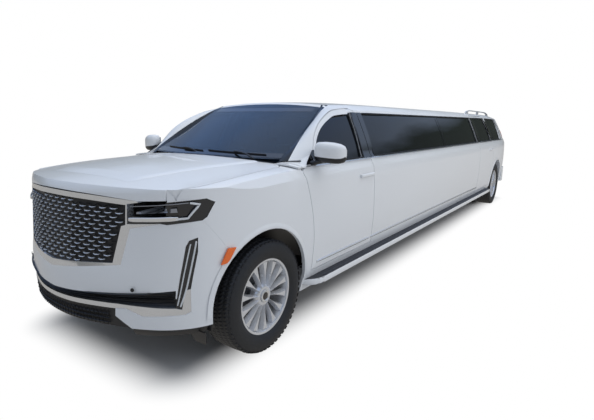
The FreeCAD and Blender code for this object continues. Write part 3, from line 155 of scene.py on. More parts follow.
LIGHT_GUIDE = material("LightGuide", (0.72, 0.74, 0.76), 0.2, coat=0.5, vary=0.06, scale=50)
BLACK_PLASTIC = material("BlackPlastic", (0.018, 0.018, 0.02), 0.42, vary=0.2, scale=40, bump=0.15)
GLOSS_BLACK = material("GlossBlack", (0.008, 0.008, 0.009), 0.06, coat=0.8, vary=0.2, rough_vary=0.02)
BOARD = material("BoardRubber", (0.030, 0.031, 0.036), 0.55, vary=0.3, scale=60, bump=0.5, bump_scale=120)
RAIL_METAL = material("RailMetal", (0.62, 0.64, 0.67), 0.3, metallic=0.5, vary=0.06)
ALLOY = material("Alloy", (0.74, 0.745, 0.76), 0.26, metallic=0.45, coat=0.4, scale=20)
CHASSIS = material("ChassisBlack", (0.03, 0.03, 0.031), 0.55, vary=0.25, scale=15, bump=0.2)
CAST = material("CastMetal", (0.16, 0.16, 0.165), 0.6, metallic=0.6, vary=0.25, scale=30, bump=0.4)
BARE_STEEL = material("BareSteel", (0.35, 0.33, 0.30), 0.4, metallic=1.0, vary=0.15, scale=12)
TANK = material("TankPlastic", (0.03, 0.03, 0.03), 0.5, vary=0.15, scale=12, bump=0.1)
DASH = material("DashMoulding", (0.03, 0.03, 0.032), 0.6, vary=0.15, scale=60, bump=0.4)
LEATHER = material("Leather", (0.05, 0.045, 0.042), 0.5, vary=0.2, scale=25, bump=0.5, bump_scale=350)
VENEER = material("Veneer", (0.09, 0.045, 0.025), 0.3, coat=0.6, vary=0.35, scale=9, stretch=(1, 0.2, 6))
SEAL = material("RubberSeal", (0.015, 0.015, 0.016), 0.5, vary=0.2, scale=50, bump=0.1)
BLANK = material("BlankPlate", (0.62, 0.62, 0.60), 0.45, vary=0.03)


def tyre_rubber():
    """Rubber whose tread shows grooves and whose wall shows fine rings, set out about the wheel's axle."""
    made = material("TyreRubber", (0.024, 0.0245, 0.026), 0.62, vary=0.2, scale=25)
    tree = made.node_tree

    def calc(operation, *items):
        return worked_out(tree, operation, *items)

    place = add_node(tree, "ShaderNodeTexCoord").outputs["Object"]
    split = add_node(tree, "ShaderNodeSeparateXYZ", {"Vector": place}).outputs
    # each wheel lies either side of the middle, so its own axle is the nearer one
    along = calc("ADD", split["Y"], -(FRONT_AXLE_Y + REAR_AXLE_Y) / 2)
    offset = calc("SUBTRACT", calc("ABSOLUTE", along), (REAR_AXLE_Y - FRONT_AXLE_Y) / 2)
    height = calc("SUBTRACT", split["Z"], WHEEL_Z)
    angle = calc("ARCTAN2", offset, height)
    radius = calc("SQRT", calc("ADD", calc("MULTIPLY", offset, offset), calc("MULTIPLY", height, height)))
    across = calc("SUBTRACT", calc("ABSOLUTE", split["X"]), HUB_X)
    lug = calc("SINE", calc("ADD", calc("MULTIPLY", angle, 90.0), calc("MULTIPLY", across, 60.0)))
    groove = calc("COSINE", calc("MULTIPLY", across, 135.0))
    rings = calc("MULTIPLY", calc("SINE", calc("MULTIPLY", radius, 900.0)), 0.12)
    on_tread = calc("GREATER_THAN", radius, TYRE_RADIUS - 0.020)
    tread = calc("MULTIPLY", calc("MINIMUM", lug, groove), on_tread)
    relief(tree, tree.nodes["Principled BSDF"], calc("ADD", tread, rings), 0.9, 0.004)
    return made


TYRE = tyre_rubber()

BY_SLOT = {
    "body_paint": PAINT, "dark_glass": DARK_GLASS, "clear_glass": CLEAR_GLASS, "lamp_lens": LENS,
    "red_lens": RED_LENS, "chrome": CHROME, "black_plastic": BLACK_PLASTIC, "board_rubber": BOARD,
    "rail_metal": RAIL_METAL, "tyre": TYRE, "alloy": ALLOY, "chassis_steel": CHASSIS, "cast": CAST,
    "bare_steel": BARE_STEEL, "tank_plastic": TANK, "floor_paint": CHASSIS, "dash_plastic": DASH,
    "seat_leather": LEATHER, "cabinet_wood": VENEER,
}


def smoothing_group():
    """Geometry nodes that shade a face smooth unless its edge is sharp."""
    group = bpy.data.node_groups.new("SmoothCurves", "GeometryNodeTree")
    for way in ("INPUT", "OUTPUT"):
        group.interface.new_socket("Geometry", in_out=way, socket_type="NodeSocketGeometry")
    start = add_node(group, "NodeGroupInput")
    weld = add_node(group, "GeometryNodeMergeByDistance", {"Geometry": start.outputs[0], "Distance": WELD})
    smooth = add_node(group, "GeometryNodeSetShadeSmooth", domain="FACE",
                      inputs={"Geometry": weld.outputs["Geometry"]})
    angle = add_node(group, "GeometryNodeInputMeshEdgeAngle").outputs["Unsigned Angle"]
    flat = add_node(group, "FunctionNodeCompare", {"A": angle, "B": math.radians(22)}, operation="LESS_THAN")
    edges = add_node(group, "GeometryNodeSetShadeSmooth", domain="EDGE", inputs={
        "Geometry": smooth.outputs["Geometry"], "Shade Smooth": flat.outputs["Result"]})
    add_node(group, "NodeGroupOutput", {0: edges.outputs["Geometry"]})
    return group


SMOOTHING = smoothing_group()
for entry in frame["record"]["subparts"]:
    piece = NODES[entry["node"]]
    piece.data.materials.clear()
    piece.data.materials.append(BY_SLOT[entry["material_slot"]])
    soften = piece.modifiers.new("SmoothCurves", "NODES")
    soften.node_group = SMOOTHING


# Finding places on the skin

def tree_of(*names):
    """A search tree of some CAD nodes, at rest."""
    points, faces = [], []
    for name in names:
        mesh = NODES[name].data
        start = len(points)
        points += [vertex.co.copy() for vertex in mesh.vertices]
        faces += [[start + index for index in polygon.vertices] for polygon in mesh.polygons]
    return BVHTree.FromPolygons(points, faces)


SIDE = tree_of("body_side_left", "door_front_left", "door_rear_left", "fenders", "front_bumper",
               "rear_bumper", "glass_front_left", "glass_rear_left", "side_glass", "cowl")
FACE = tree_of("front_bumper", "grille", "grille_surround", "headlamps", "day_lamps", "bumper_strip",
               "lower_grille", "hood", "fenders")
GATE = tree_of("liftgate", "glass_liftgate", "rear_bumper", "tail_lamps")
NEIGHBOURS = [(0, 0)] + [(reach * along, reach * up) for reach in (0.012, 0.030)
                         for along, up in ((-1, 0), (1, 0), (0, -1), (0, 1))]


def ray(tree, start, direction):
    """Where a ray meets the tree, with the normal turned to face it."""
    place, normal, _, _ = tree.ray_cast(Vector(start), Vector(direction), 4.0)
    if place is None:
        return None
    return place, -normal if normal.dot(Vector(direction)) > 0 else normal


def outermost(tree, start, direction, otherwise):
    """The skin that a ray meets; a ray that falls into a gap takes its neighbour's."""
    x, y, z = start
    facing = -Vector(direction)
    best = None
    for along, up in NEIGHBOURS:
        beside = (x, y + along, z + up) if facing.x else (x + along, y, z + up)
        hit = ray(tree, beside, direction)
        if hit and (best is None or hit[0].dot(facing) > best[0].dot(facing) + STEP_OUT):
            best = hit
    return best or (Vector(otherwise), facing)


def on_side(y, z):
    """A place on the left side and its normal."""
    place, normal = outermost(SIDE, (1.3, y, z), (-1, 0, 0), (0.9, y, z))
    return Vector((place.x, y, z)), normal


def on_face(x, z, tree=FACE):
    """A place on the nose and its normal."""
    place, normal = outermost(tree, (x, -6.5, z), (0, 1, 0), (x, -4.6, z))
    return Vector((x, place.y, z)), normal


def on_gate(x, z):
    """A place on the rear and its normal."""
    place, normal = outermost(GATE, (x, 6.5, z), (0, -1, 0), (x, 4.85, z))
    return Vector((x, place.y, z)), normal


# Making pieces

def piece_from(name, points, faces, finish, slot, body, smooth=True, angle=35):
    mesh = bpy.data.meshes.new(name)
    mesh.from_pydata([tuple(point) for point in points], [], faces)
    work = bmesh.new()
    work.from_mesh(mesh)
    bmesh.ops.remove_doubles(work, verts=work.verts, dist=WELD)
    bmesh.ops.recalc_face_normals(work, faces=work.faces)
    work.to_mesh(mesh)
    work.free()
    mesh.materials.append(finish)
    if smooth:
        mesh.polygons.foreach_set("use_smooth", [True] * len(mesh.polygons))
        mesh.set_sharp_from_angle(angle=math.radians(angle))
    made = bpy.data.objects.new(name, mesh)
    scene.collection.objects.link(made)
    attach(made, body)
    return made


class Heap:
    """Points and faces gathered into one mesh."""

    def __init__(self):
        self.points = []
        self.faces = []

    def add(self, points, faces):
        start = len(self.points)
        self.points += [Vector(point) for point in points]
        self.faces += [[start + index for index in face] for face in faces]

    def mirrored(self):
        """The same on the car's right."""
        other = Heap()
        other.add([(-p.x, p.y, p.z) for p in self.points], [face[::-1] for face in self.faces])
        return other

    def make(self, name, finish, slot, body="car", **more):
        return piece_from(name, self.points, self.faces, finish, slot, body, **more)


def alone(name, build, finish, slot, body="car", **more):
    """One piece made by a function that fills a heap."""
    heap = Heap()
    build(heap)
    return heap.make(name, finish, slot, body, **more)


def on_both_sides(name, build, finish, slot, body="car", **more):
    """Build on the left, then the same on the right; a door's pieces ride on their own door."""
    heap = Heap()
    build(heap)
    other = heap.mirrored()
    if body == "car":
        heap.add(other.points, other.faces)
        return [heap.make(name, finish, slot, body, **more)]
    return [heap.make(name + "_left", finish, slot, body, **more),
            other.make(name + "_right", finish, slot, body.replace("_left", "_right"), **more)]


def grid_faces(tall, wide, ring=False):
    """Four-cornered faces over rows of points; a ring's row ends where it begins."""
    faces = []
    for i in range(tall - 1):
        for j in range(wide if ring else wide - 1):
            follow = (j + 1) % wide
            faces.append([i * wide + j, i * wide + follow, (i + 1) * wide + follow, (i + 1) * wide + j])
    return faces


def stack(heap, rings, low_end=True, high_end=True):
    """A skin over rings of as many points each, closed at the ends that are asked for."""
    wide = len(rings[0])
    faces = grid_faces(len(rings), wide, ring=True)
    ends = [0] * low_end + [len(rings) - 1] * high_end
    faces += [[end * wide + j for j in range(wide)] for end in ends]
    heap.add([place for ring in rings for place in ring], faces)


ROUNDED = [(-0.5, 0.0), (-0.5, 0.55), (-0.36, 1.0), (0.36, 1.0), (0.5, 0.55), (0.5, 0.0)]
RIDGE = [(-0.5, 0.0), (-0.25, 0.75), (0.0, 1.0), (0.25, 0.75), (0.5, 0.0)]
LIP = [(-0.5, 0.0), (-0.5, 0.7), (-0.3, 1.0), (0.0, 0.8), (0.25, 0.35), (0.5, 0.0)]


def bar(heap, path, width, height, section=ROUNDED, closed=False, tapers=True):
    """A strip along a path of (place, outward normal); its foot is sunk a little into the skin."""
    rows = []
    count, wide = len(path), len(section)
    for index, (place, normal) in enumerate(path):
        before = path[(index - 1) % count if closed else max(index - 1, 0)][0]
        after = path[(index + 1) % count if closed else min(index + 1, count - 1)][0]
        along = (after - before).normalized()
        across = normal.cross(along).normalized()
        out = along.cross(across).normalized()
        if out.dot(normal) < 0:
            out = -out
        at_end = tapers and not closed and index in (0, count - 1)
        size = width * 0.8 if at_end else width
        rows.append([place + across * (u * size) + out * (v * (height + SINK) - SINK) for u, v in section])
    if closed:
        rows.append(rows[0])
    faces = grid_faces(len(rows), wide)
    if not closed:
        faces += [list(range(wide)), [(count - 1) * wide + step for step in range(wide)][::-1]]
    heap.add([point for row in rows for point in row], faces)


def trim(name, path, width, height, finish, slot, body="car", **shape):
    """A strip along a path on the left, and the same on the right."""
    return on_both_sides(name, lambda heap: bar(heap, path, width, height, **shape), finish, slot, body)


def patch(heap, rows, thick):
    """A thin raised sheet over a grid of (place, normal), closed down to the skin at its rim."""
    tall, wide = len(rows), len(rows[0])
    points = [place + normal * thick for row in rows for place, normal in row]
    faces = grid_faces(tall, wide)
    rim = [(0, j) for j in range(wide)] + [(i, wide - 1) for i in range(1, tall)]
    rim += [(tall - 1, j) for j in range(wide - 2, -1, -1)] + [(i, 0) for i in range(tall - 2, 0, -1)]
    start = len(points)
    for index, (i, j) in enumerate(rim):
        place, normal = rows[i][j]
        points.append(place - normal * SINK)
        follow = (index + 1) % len(rim)
        next_i, next_j = rim[follow]
        faces.append([i * wide + j, next_i * wide + next_j, start + follow, start + index])
    heap.add(points, faces)


def plate(heap, rows, inward):
    """A closed sheet: the rows of outer places, and the same moved inwards."""
    tall, wide = len(rows), len(rows[0])
    outer = [place for row in rows for place in row]
    under = tall * wide
    faces = grid_faces(tall, wide)
    faces += [[under + index for index in face[::-1]] for face in faces]
    edges = [(i * wide + j, (i + 1) * wide + j) for i in range(tall - 1) for j in (0, wide - 1)]
    edges += [(i * wide + j, i * wide + j + 1) for j in range(wide - 1) for i in (0, tall - 1)]
    faces += [[a, b, under + b, under + a] for a, b in edges]
    heap.add(outer + [place + inward for place in outer], faces)


def smooth_chain(points, count):
    """Even places along a chain of corners, rounded between them."""
    made = []
    for step in range(count):
        u = step / (count - 1) * (len(points) - 1)
        index = min(int(u), len(points) - 2)
        f = u - index
        p0, p1 = points[max(index - 1, 0)], points[index]
        p2, p3 = points[index + 1], points[min(index + 2, len(points) - 1)]
        made.append(tuple(0.5 * (2 * b + (c - a) * f + (2 * a - 5 * b + 4 * c - d) * f * f
                                 + (3 * b - a - 3 * c + d) * f ** 3)
                          for a, b, c, d in zip(p0, p1, p2, p3)))
    return made


def corner_grid(corners, lookup, across, up):
    """Places over a four-cornered outline: low front, low rear, high rear, high front."""
    (a, b, c, d) = [Vector((u, v, 0)) for u, v in corners]
    rows = []
    for t in between(0.0, 1.0, up):
        low, high = a.lerp(d, t), b.lerp(c, t)
        rows.append([lookup(*low.lerp(high, s).xy) for s in between(0.0, 1.0, across)])
    return rows


# The side: belt strip, black pillars, seals and sill strip

SIDE_SPANS = [("door_front_left", 0.470, DOOR_CUT - HALF_GAP),
              ("car", DOOR_CUT + HALF_GAP, REAR_DOOR_CUT - HALF_GAP),
              ("door_rear_left", REAR_DOOR_CUT + HALF_GAP, REAR_DOOR_END - HALF_GAP),
              ("car", REAR_DOOR_END + HALF_GAP, 8.170)]


def side_line(start, end, z):
    """Places along the side at one height, between two stations."""
    count = max(3, int((end - start) / 0.12) + 2)
    return [on_side(y, z) for y in between(back(start), back(end), count)]


for index, (body, start, end) in enumerate(SIDE_SPANS):
    trim("belt_strip_%d" % index, side_line(start, end, BELT_Z), 0.013, 0.005, CHROME, "chrome", body)


def hull_place(y, z, station=POST):
    """A place on the outer hull above the belt, its width taken at a station behind the front axle."""
    place, _ = on_side(back(station), z)
    return Vector((place.x - 0.007 * max(0.0, station - y), back(y), z))


# black panels between the windows: station of the width, then low front, low rear, high rear, high front
PANEL_LOW, PANEL_HIGH, SHORT_PANEL_HIGH = GLASS_LOW - 0.006, 1.758, 1.700
PILLARS = [
    ("door_front_left", POST, (1.468, 1.640, 1.640, 1.522), PANEL_HIGH),
    ("car", POST, (1.650, 1.736, 1.745, 1.650), PANEL_HIGH),
    ("car", 6.066, (6.030, 6.095, 6.095, 6.030), PANEL_HIGH),
    ("door_rear_left", 6.066, (6.105, 6.168, 6.168, 6.105), PANEL_HIGH),
    ("door_rear_left", 7.180, (7.134, 7.215, 7.160, 7.075), SHORT_PANEL_HIGH),
    ("car", 7.245, (7.225, 7.300, 7.245, 7.172), SHORT_PANEL_HIGH),
]
for index, (body, station, places, top) in enumerate(PILLARS):
    corners = list(zip(places, (PANEL_LOW, PANEL_LOW, top, top)))
    grid = corner_grid(corners, lambda y, z: (hull_place(y, z, station), OUT_AND_UP), 4, 14)
    on_both_sides("pillar_panel_%d" % index, lambda heap: patch(heap, grid, 0.002), GLOSS_BLACK,
                  "black_plastic", body)

# rubber round each pane
PANES = [
    ("front_seal", "door_front_left", [(0.640, GLASS_LOW), (1.480, GLASS_LOW), (1.540, GLASS_HIGH),
                                       (1.180, 1.724), (0.960, 1.652), (0.760, 1.528)]),
    ("long_seal", "car", [(1.725, GLASS_LOW), (6.040, GLASS_LOW), (6.040, GLASS_HIGH), (1.735, GLASS_HIGH)]),
    ("rear_seal", "door_rear_left", [(6.160, GLASS_LOW), (7.145, GLASS_LOW), (7.115, 1.580),
                                     (7.050, GLASS_HIGH), (6.160, GLASS_HIGH)]),
    ("quarter_seal", "car", [(7.290, GLASS_LOW), (8.060, GLASS_LOW), (8.150, 1.600), (8.120, 1.738),
                             (7.180, GLASS_HIGH), (7.260, 1.580)]),
]


def seal_path(outline):
    path = []
    for index, here in enumerate(outline):
        there = outline[(index + 1) % len(outline)]
        steps = max(2, int(math.dist(here, there) / 0.16))
        for share in between(0.0, 1.0, steps + 1)[:-1]:
            y, z = on_the_way(here, there, share)
            path.append((on_side(back(y), z)[0], Vector((1, 0, 0.25)).normalized()))
    return path


for name, body, outline in PANES:
    trim(name, seal_path(outline), 0.016, 0.004, SEAL, "black_plastic", body, closed=True)

# bright strip along the sill, and the seam of the long side glass
for index, (body, start, end) in enumerate((("door_front_left", 0.640, 1.625), ("car", 1.665, 6.080))):
    trim("sill_strip_%d" % index, side_line(start, end, SILL_Z), 0.028, 0.010, BRIGHT, "chrome", body,
         section=RIDGE)
GLASS_DEEP = Vector((0.0085, 0, 0))
trim("glass_seam", [(hull_place(4.160, z) - GLASS_DEEP, OUT_AND_UP) for z in between(1.352, 1.738, 7)],
     0.006, 0.002, SEAL, "black_plastic")


# The front: grille, lamps, intakes

def inside(outline, x, z):
    within = False
    for index, (x1, z1) in enumerate(outline):
        x0, z0 = outline[index - 1]
        if (z0 > z) != (z1 > z) and x < (x1 - x0) * (z - z0) / (z1 - z0) + x0:
            within = not within
    return within


MESH_SIDE = [(0.568, 1.152), (0.568, 1.048), (0.540, 1.034), (0.488, 0.812)]
MESH_OUTLINE = MESH_SIDE + [(0.0, 0.782)] + [(-x, z) for x, z in MESH_SIDE[::-1]]
MESH_OUTLINE += [(-0.3, 1.168), (0.0, 1.174), (0.3, 1.168)]
GRILLE_TREE = tree_of("grille")
CELL_ROWS, CELL_LOW = 15, 0.799
CELL_WIDE, CELL_TALL = 0.076, 0.0265
SMILE_HALF, SMILE_TALL, SMILE_SAG, SMILE_PROUD = 0.0265, 0.0088, 0.0060, 0.013
SMILE_STEPS = 9
# height and depth of a smile's section, as shares of its own
SMILE_SECTION = [(0.45, 0.0), (0.30, 0.8), (0.0, 1.0), (-0.55, 0.45), (-0.60, 0.0)]


def crescent(heap, x, z):
    """One bright smile: thick in the middle, drawn out to points, standing proud of the lattice."""
    points = []
    for u in between(-1, 1, SMILE_STEPS):
        place, _ = on_face(x + u * SMILE_HALF, z, GRILLE_TREE)
        sag = SMILE_SAG * (1 - u * u)
        tall = SMILE_TALL * (1 - abs(u) ** 2.2) ** 0.8 + 0.0008
        proud = SMILE_PROUD * (1 - 0.75 * abs(u) ** 2)
        points += [place + Vector((0, 0.001 - out * proud, up * tall - sag)) for up, out in SMILE_SECTION]
    wide = len(SMILE_SECTION)
    ends = [list(range(wide)), [len(points) - wide + j for j in range(wide)]]
    heap.add(points, grid_faces(SMILE_STEPS, wide) + ends)


def grille_mesh():
    """Staggered rows of bright smiles on a fine black lattice."""
    smiles, lattice = Heap(), Heap()
    for row in range(CELL_ROWS):
        z = CELL_LOW + row * CELL_TALL
        shift = CELL_WIDE / 2 if row % 2 else 0.0
        for column in range(-9, 10):
            x = column * CELL_WIDE + shift
            if inside(MESH_OUTLINE, x - 0.027, z) and inside(MESH_OUTLINE, x + 0.027, z):
                crescent(smiles, x, z)
        wave = []
        for x in [-0.57 + step * 0.015 for step in range(77)]:
            if inside(MESH_OUTLINE, x, z):
                place, normal = on_face(x, z, GRILLE_TREE)
                lift = 0.006 * math.cos(2 * math.pi * (x - shift) / CELL_WIDE)
                wave.append((place + Vector((0, 0, 0.010 - lift)), normal))
        if len(wave) > 3:
            bar(lattice, wave, 0.005, 0.006, RIDGE)
    smiles.make("grille_smiles", BRIGHT, "chrome")
    lattice.make("grille_lattice", GLOSS_BLACK, "black_plastic")


grille_mesh()


def face_line(points, count=8):
    """Places on the nose along a chain of (x, z) corners."""
    path = []
    for here, there in zip(points, points[1:]):
        steps = max(1, int(count * math.dist(here, there) / 0.3) + 1)
        path += [on_face(*on_the_way(here, there, share)) for share in between(0.0, 1.0, steps + 1)[:-1]]
    path.append(on_face(*points[-1]))
    return path


def lamp_line(tree, start_y, outward, points, count):
    """Places on one kind of lamp alone, along a chain of (x, z) corners."""
    path = []
    for x, z in smooth_chain(points, count):
        hit = ray(tree, (x, start_y, z), (0, math.copysign(1, -start_y), 0))
        if hit:
            path.append((Vector((x, hit[0].y, z)), Vector(outward)))
    return path


# headlamp: bright lower blade, hooked light guide, brow and a row of small lenses behind the cover
HOOK = [(0.850, 1.091), (0.897, 1.095), (0.925, 1.150), (0.938, 1.176), (0.905, 1.186)]
trim("headlamp_blade", face_line([(0.600, 1.081), (0.760, 1.088), (0.860, 1.094)]), 0.026, 0.006, BRIGHT,
     "chrome")
trim("headlamp_hook", face_line(HOOK, 14), 0.013, 0.006, LIGHT_GUIDE, "lamp_lens")
trim("headlamp_brow", face_line([(0.600, 1.158), (0.770, 1.172), (0.900, 1.187)]), 0.005, 0.004, LAMP_CELL,
     "lamp_lens")


def lamp_lenses(heap):
    for index in range(4):
        x = 0.640 + index * 0.058
        z = 1.116 + index * 0.0045
        corners = [(x, z), (x + 0.044, z + 0.003), (x + 0.040, z + 0.027), (x + 0.004, z + 0.024)]
        patch(heap, corner_grid(corners, on_face, 4, 3), 0.004)


on_both_sides("headlamp_lenses", lamp_lenses, LAMP_CELL, "lamp_lens")

# upright lamp: two bright guides with a dark channel between them
DAY_TREE = tree_of("day_lamps")
for name, width, chain in (
        ("day_guide_outer", 0.010, [(0.9035, 0.945), (0.8960, 0.870), (0.8700, 0.660), (0.8435, 0.535)]),
        ("day_guide_inner", 0.007, [(0.8850, 0.930), (0.8770, 0.870), (0.8500, 0.660), (0.8320, 0.545)])):
    trim(name, lamp_line(DAY_TREE, -6.5, (0.45, -0.89, 0), chain, 22), width, 0.006, LIGHT_GUIDE, "lamp_lens")


def intake_slats(heap):
    """Four slats along the wide intake, which opens towards its ends."""
    for index in range(4):
        path = []
        for x in between(-0.815, 0.815, 41):
            low = 0.545 + 0.010 * abs(x) - 0.02 * max(0.0, abs(x) - 0.52)
            high = 0.578 + 0.065 * min(1.0, abs(x) / 0.75)
            place, normal = on_face(x, low + (high - low) * (index + 0.5) / 4 * 0.98 + 0.002)
            path.append((place + Vector((0, 0.009, 0)), normal))
        bar(heap, path, 0.008, 0.012, RIDGE)


def low_grille_mesh(heap):
    for z in (0.412, 0.442, 0.472):
        bar(heap, [on_face(x, z) for x in between(-0.45, 0.45, 21)], 0.007, 0.008, RIDGE)
    for column in range(-14, 15):
        bar(heap, [on_face(column * 0.031, z) for z in between(0.395, 0.488, 4)], 0.004, 0.006, RIDGE)


alone("intake_slats", intake_slats, BLACK_PLASTIC, "black_plastic")
alone("low_grille_mesh", low_grille_mesh, BLACK_PLASTIC, "black_plastic")


def parking_sensor(heap):
    """A round sensor: a shallow dished button in the bumper's skin."""
    middle, normal = on_face(0.629, 0.650)
    side = normal.cross(UP).normalized()
    up = side.cross(normal)
    rings = []
    for radius, out in ((0.0125, -0.001), (0.0115, 0.0022), (0.0088, 0.0026), (0.0080, 0.0012)):
        rings.append([middle + side * (radius * c) + up * (radius * s) + normal * out for c, s in circle(20)])
    stack(heap, rings, low_end=False)


on_both_sides("parking_sensors", parking_sensor, SEAL, "black_plastic")

# amber lamp on the fender's corner, ahead of the wheel
MARKER = [(back(y), z) for y, z in ((-0.452, 0.772), (-0.400, 0.776), (-0.338, 0.866), (-0.398, 0.870))]
on_both_sides("side_marker", lambda heap: patch(heap, corner_grid(MARKER, on_side, 5, 6), 0.012), AMBER,
              "lamp_lens")


# Hood: a raised middle between two creases

HOOD_TREE = tree_of("hood")
HOOD_NOSE, HOOD_REAR = -0.745, 0.236
DOME_ROWS, DOME_COLUMNS = 44, 41
DOME_RISE = 0.0085


def hood_dome(heap):
    """The middle of the hood stands a little above its sides, between creases that run to the shield."""
    points = []
    for t in between(0.0, 1.0, DOME_ROWS):
        half = 0.47 + 0.17 * t ** 0.8
        for s in between(-1.0, 1.0, DOME_COLUMNS):
            x = half * s
            rear = HOOD_REAR + 0.13 * (x / 0.745) ** 2
            y = back(HOOD_NOSE + t * (rear - HOOD_NOSE))
            place, normal = ray(HOOD_TREE, (x, y, 3.0), (0, 0, -1))
            edge = min(1.0, (1 - abs(s)) * half / 0.035)
            front = min(1.0, t / 0.12)
            rise = DOME_RISE * edge * edge * (3 - 2 * edge) * front
            points.append(Vector((x, y, place.z)) + normal * (rise + 0.0004))
    heap.add(points, grid_faces(DOME_ROWS, DOME_COLUMNS))


alone("hood_dome", hood_dome, PAINT, "body_paint", "hood", angle=60)


# Wheel arches: a raised lip round each opening

LIP_RADIUS = ARCH_RADIUS + 0.020
LIP_LOW, LIP_MIDDLE = 0.425, 0.440


def arch_lip(name, axle):
    chain = [(axle - LIP_RADIUS, z) for z in between(LIP_LOW, LIP_MIDDLE, 6)[:-1]]
    for a in between(math.pi, 0.0, 25):
        chain.append((axle + LIP_RADIUS * math.cos(a), LIP_MIDDLE + LIP_RADIUS * math.sin(a)))
    chain += [(axle + LIP_RADIUS, z) for z in between(LIP_MIDDLE, LIP_LOW, 4)[1:]]
    path = []
    for y, z in chain:
        hit = ray(SIDE, (1.3, y, z), (-1, 0, 0))
        if hit:
            path.append((Vector((hit[0].x, y, z)), Vector((1, 0, 0))))
    trim(name, path, 0.042, 0.008, PAINT, "body_paint", section=LIP)


arch_lip("arch_lip_front", FRONT_AXLE_Y - 0.020)
arch_lip("arch_lip_rear", REAR_AXLE_Y)


# Windshield pillar and the door's frame before the glass, which the solids leave open

WINDOW_EDGE = [(0.640, 1.345), (0.685, 1.430), (0.760, 1.528), (0.855, 1.600), (0.960, 1.652), (1.070, 1.693),
               (1.180, 1.724), (1.320, 1.737), (1.460, 1.745)]
SHIELD_SIDE = [(0.775, 1.352), (0.766, 1.400), (0.745, 1.480), (0.728, 1.550), (0.712, 1.615), (0.700, 1.665),
               (0.682, 1.710), (0.664, 1.760), (0.650, 1.800), (0.640, 1.822)]
SHIELD_TREE = tree_of("windshield")
SHIELD_LOW, SHIELD_HIGH, SHIELD_HALF = 1.45, 1.60, 0.60
PILLAR_ROWS = 26
PILLAR_OUT = Vector((0.50, -0.62, 0.60)).normalized()


def shield_place(x, z):
    """A place on the windshield, or on its continuation beyond the glass's side edge."""
    inner = min(abs(x), SHIELD_HALF)
    low, high = [ray(SHIELD_TREE, (inner, -7.0, z), (0, 1, 0))[0].y for z in (SHIELD_LOW, SHIELD_HIGH)]
    slope = (high - low) / (SHIELD_HIGH - SHIELD_LOW)
    return Vector((x, low + (z - SHIELD_LOW) * slope + 0.29 * (abs(x) - inner), z))


def shield_spot(x, z):
    """A place on the windshield with its outward normal."""
    place = shield_place(x, z)
    normal = (shield_place(x + 0.01, z) - place).cross(shield_place(x, z + 0.01) - place).normalized()
    return place, normal if normal.z > 0 else -normal


def shield_grid(corners, across, up, lift):
    """Rows over the windshield between four (x, z) corners, lifted off the glass."""
    def lifted(x, z):
        place, normal = shield_spot(x, z)
        return place + normal * lift

    return corner_grid(corners, lifted, across, up)


def outside_window(offset_low, offset_high):
    """The front door window's edge, moved outwards in the side view."""
    edge = smooth_chain(WINDOW_EDGE, PILLAR_ROWS)
    made = []
    for index, (y, z) in enumerate(edge):
        before, after = edge[max(index - 1, 0)], edge[min(index + 1, PILLAR_ROWS - 1)]
        run, rise = after[0] - before[0], after[1] - before[1]
        size = math.hypot(run, rise)
        offset = offset_low + (offset_high - offset_low) * index / (PILLAR_ROWS - 1)
        made.append((y - rise / size * offset, z + run / size * offset))
    return made


def pillar_rows(first, last, across):
    """Rows over the windshield pillar, between two shares of its width."""
    rows = []
    edges = zip(outside_window(0.028, 0.054), smooth_chain(SHIELD_SIDE, PILLAR_ROWS))
    for index, (outer, inner) in enumerate(edges):
        bulge = 0.034 * (1 - 0.7 * (index / PILLAR_ROWS) ** 3)
        near = shield_place(*inner)
        far = hull_place(*outer)
        middle = (near + far) / 2 + PILLAR_OUT * bulge
        rows.append([near * (1 - t) ** 2 + middle * (2 * t * (1 - t)) + far * t * t
                     for t in between(first, last, across)])
    return rows


def door_frame(heap):
    rows = []
    for low, high in zip(outside_window(-0.004, -0.004), outside_window(0.021, 0.046)):
        rows.append([hull_place(*on_the_way(low, high, t)) + Vector((0.0008, 0, 0))
                     for t in between(0.0, 1.0, 4)])
    plate(heap, rows, Vector((-0.016, 0.004, -0.004)))


def belt_corner(first, last):
    """The painted ledge between the side's skin and the pillar's foot, from one station to another."""
    def ledge(heap):
        rows = []
        for y in between(first, last, 5):
            t = (y - 0.366) / 0.172
            place, _ = on_side(back(y), 1.318)
            near = Vector((0.786 + 0.050 * t * t, back(y), 1.3440 + 0.012 * t))
            far = Vector((place.x - 0.002, back(y), 1.3260))
            rows.append([near.lerp(far, share) + UP * (0.006 * math.sin(math.pi * share))
                         for share in between(0.0, 1.0, 8)])
        plate(heap, rows, Vector((-0.001, 0, -0.012)))

    return ledge


def mirror_sail(heap):
    """The black corner before the door's glass."""
    corners = [(0.500, 1.336), (0.700, 1.336), (0.745, 1.440), (0.640, 1.440)]
    patch(heap, corner_grid(corners, lambda y, z: (hull_place(y, z), OUT_AND_UP), 6, 6), 0.002)


on_both_sides("a_pillar", lambda heap: plate(heap, pillar_rows(0.26, 1.0, 9), PILLAR_OUT * -0.010), PAINT,
              "body_paint", angle=50)
on_both_sides("shield_side", lambda heap: plate(heap, pillar_rows(-0.03, 0.25, 4), PILLAR_OUT * -0.008),
              DARK_GLASS, "dark_glass", angle=50)
on_both_sides("door_frame_front", door_frame, PAINT, "body_paint", "door_front_left", angle=50)
on_both_sides("cowl_corner", belt_corner(0.366, 0.424), PAINT, "body_paint", angle=50)
on_both_sides("door_corner", belt_corner(0.430, 0.545), PAINT, "body_paint", "door_front_left", angle=50)
on_both_sides("mirror_sail", mirror_sail, GLOSS_BLACK, "black_plastic", "door_front_left")


# Mirrors: cap, lower part, arm and looking glass, in place of the plain ones

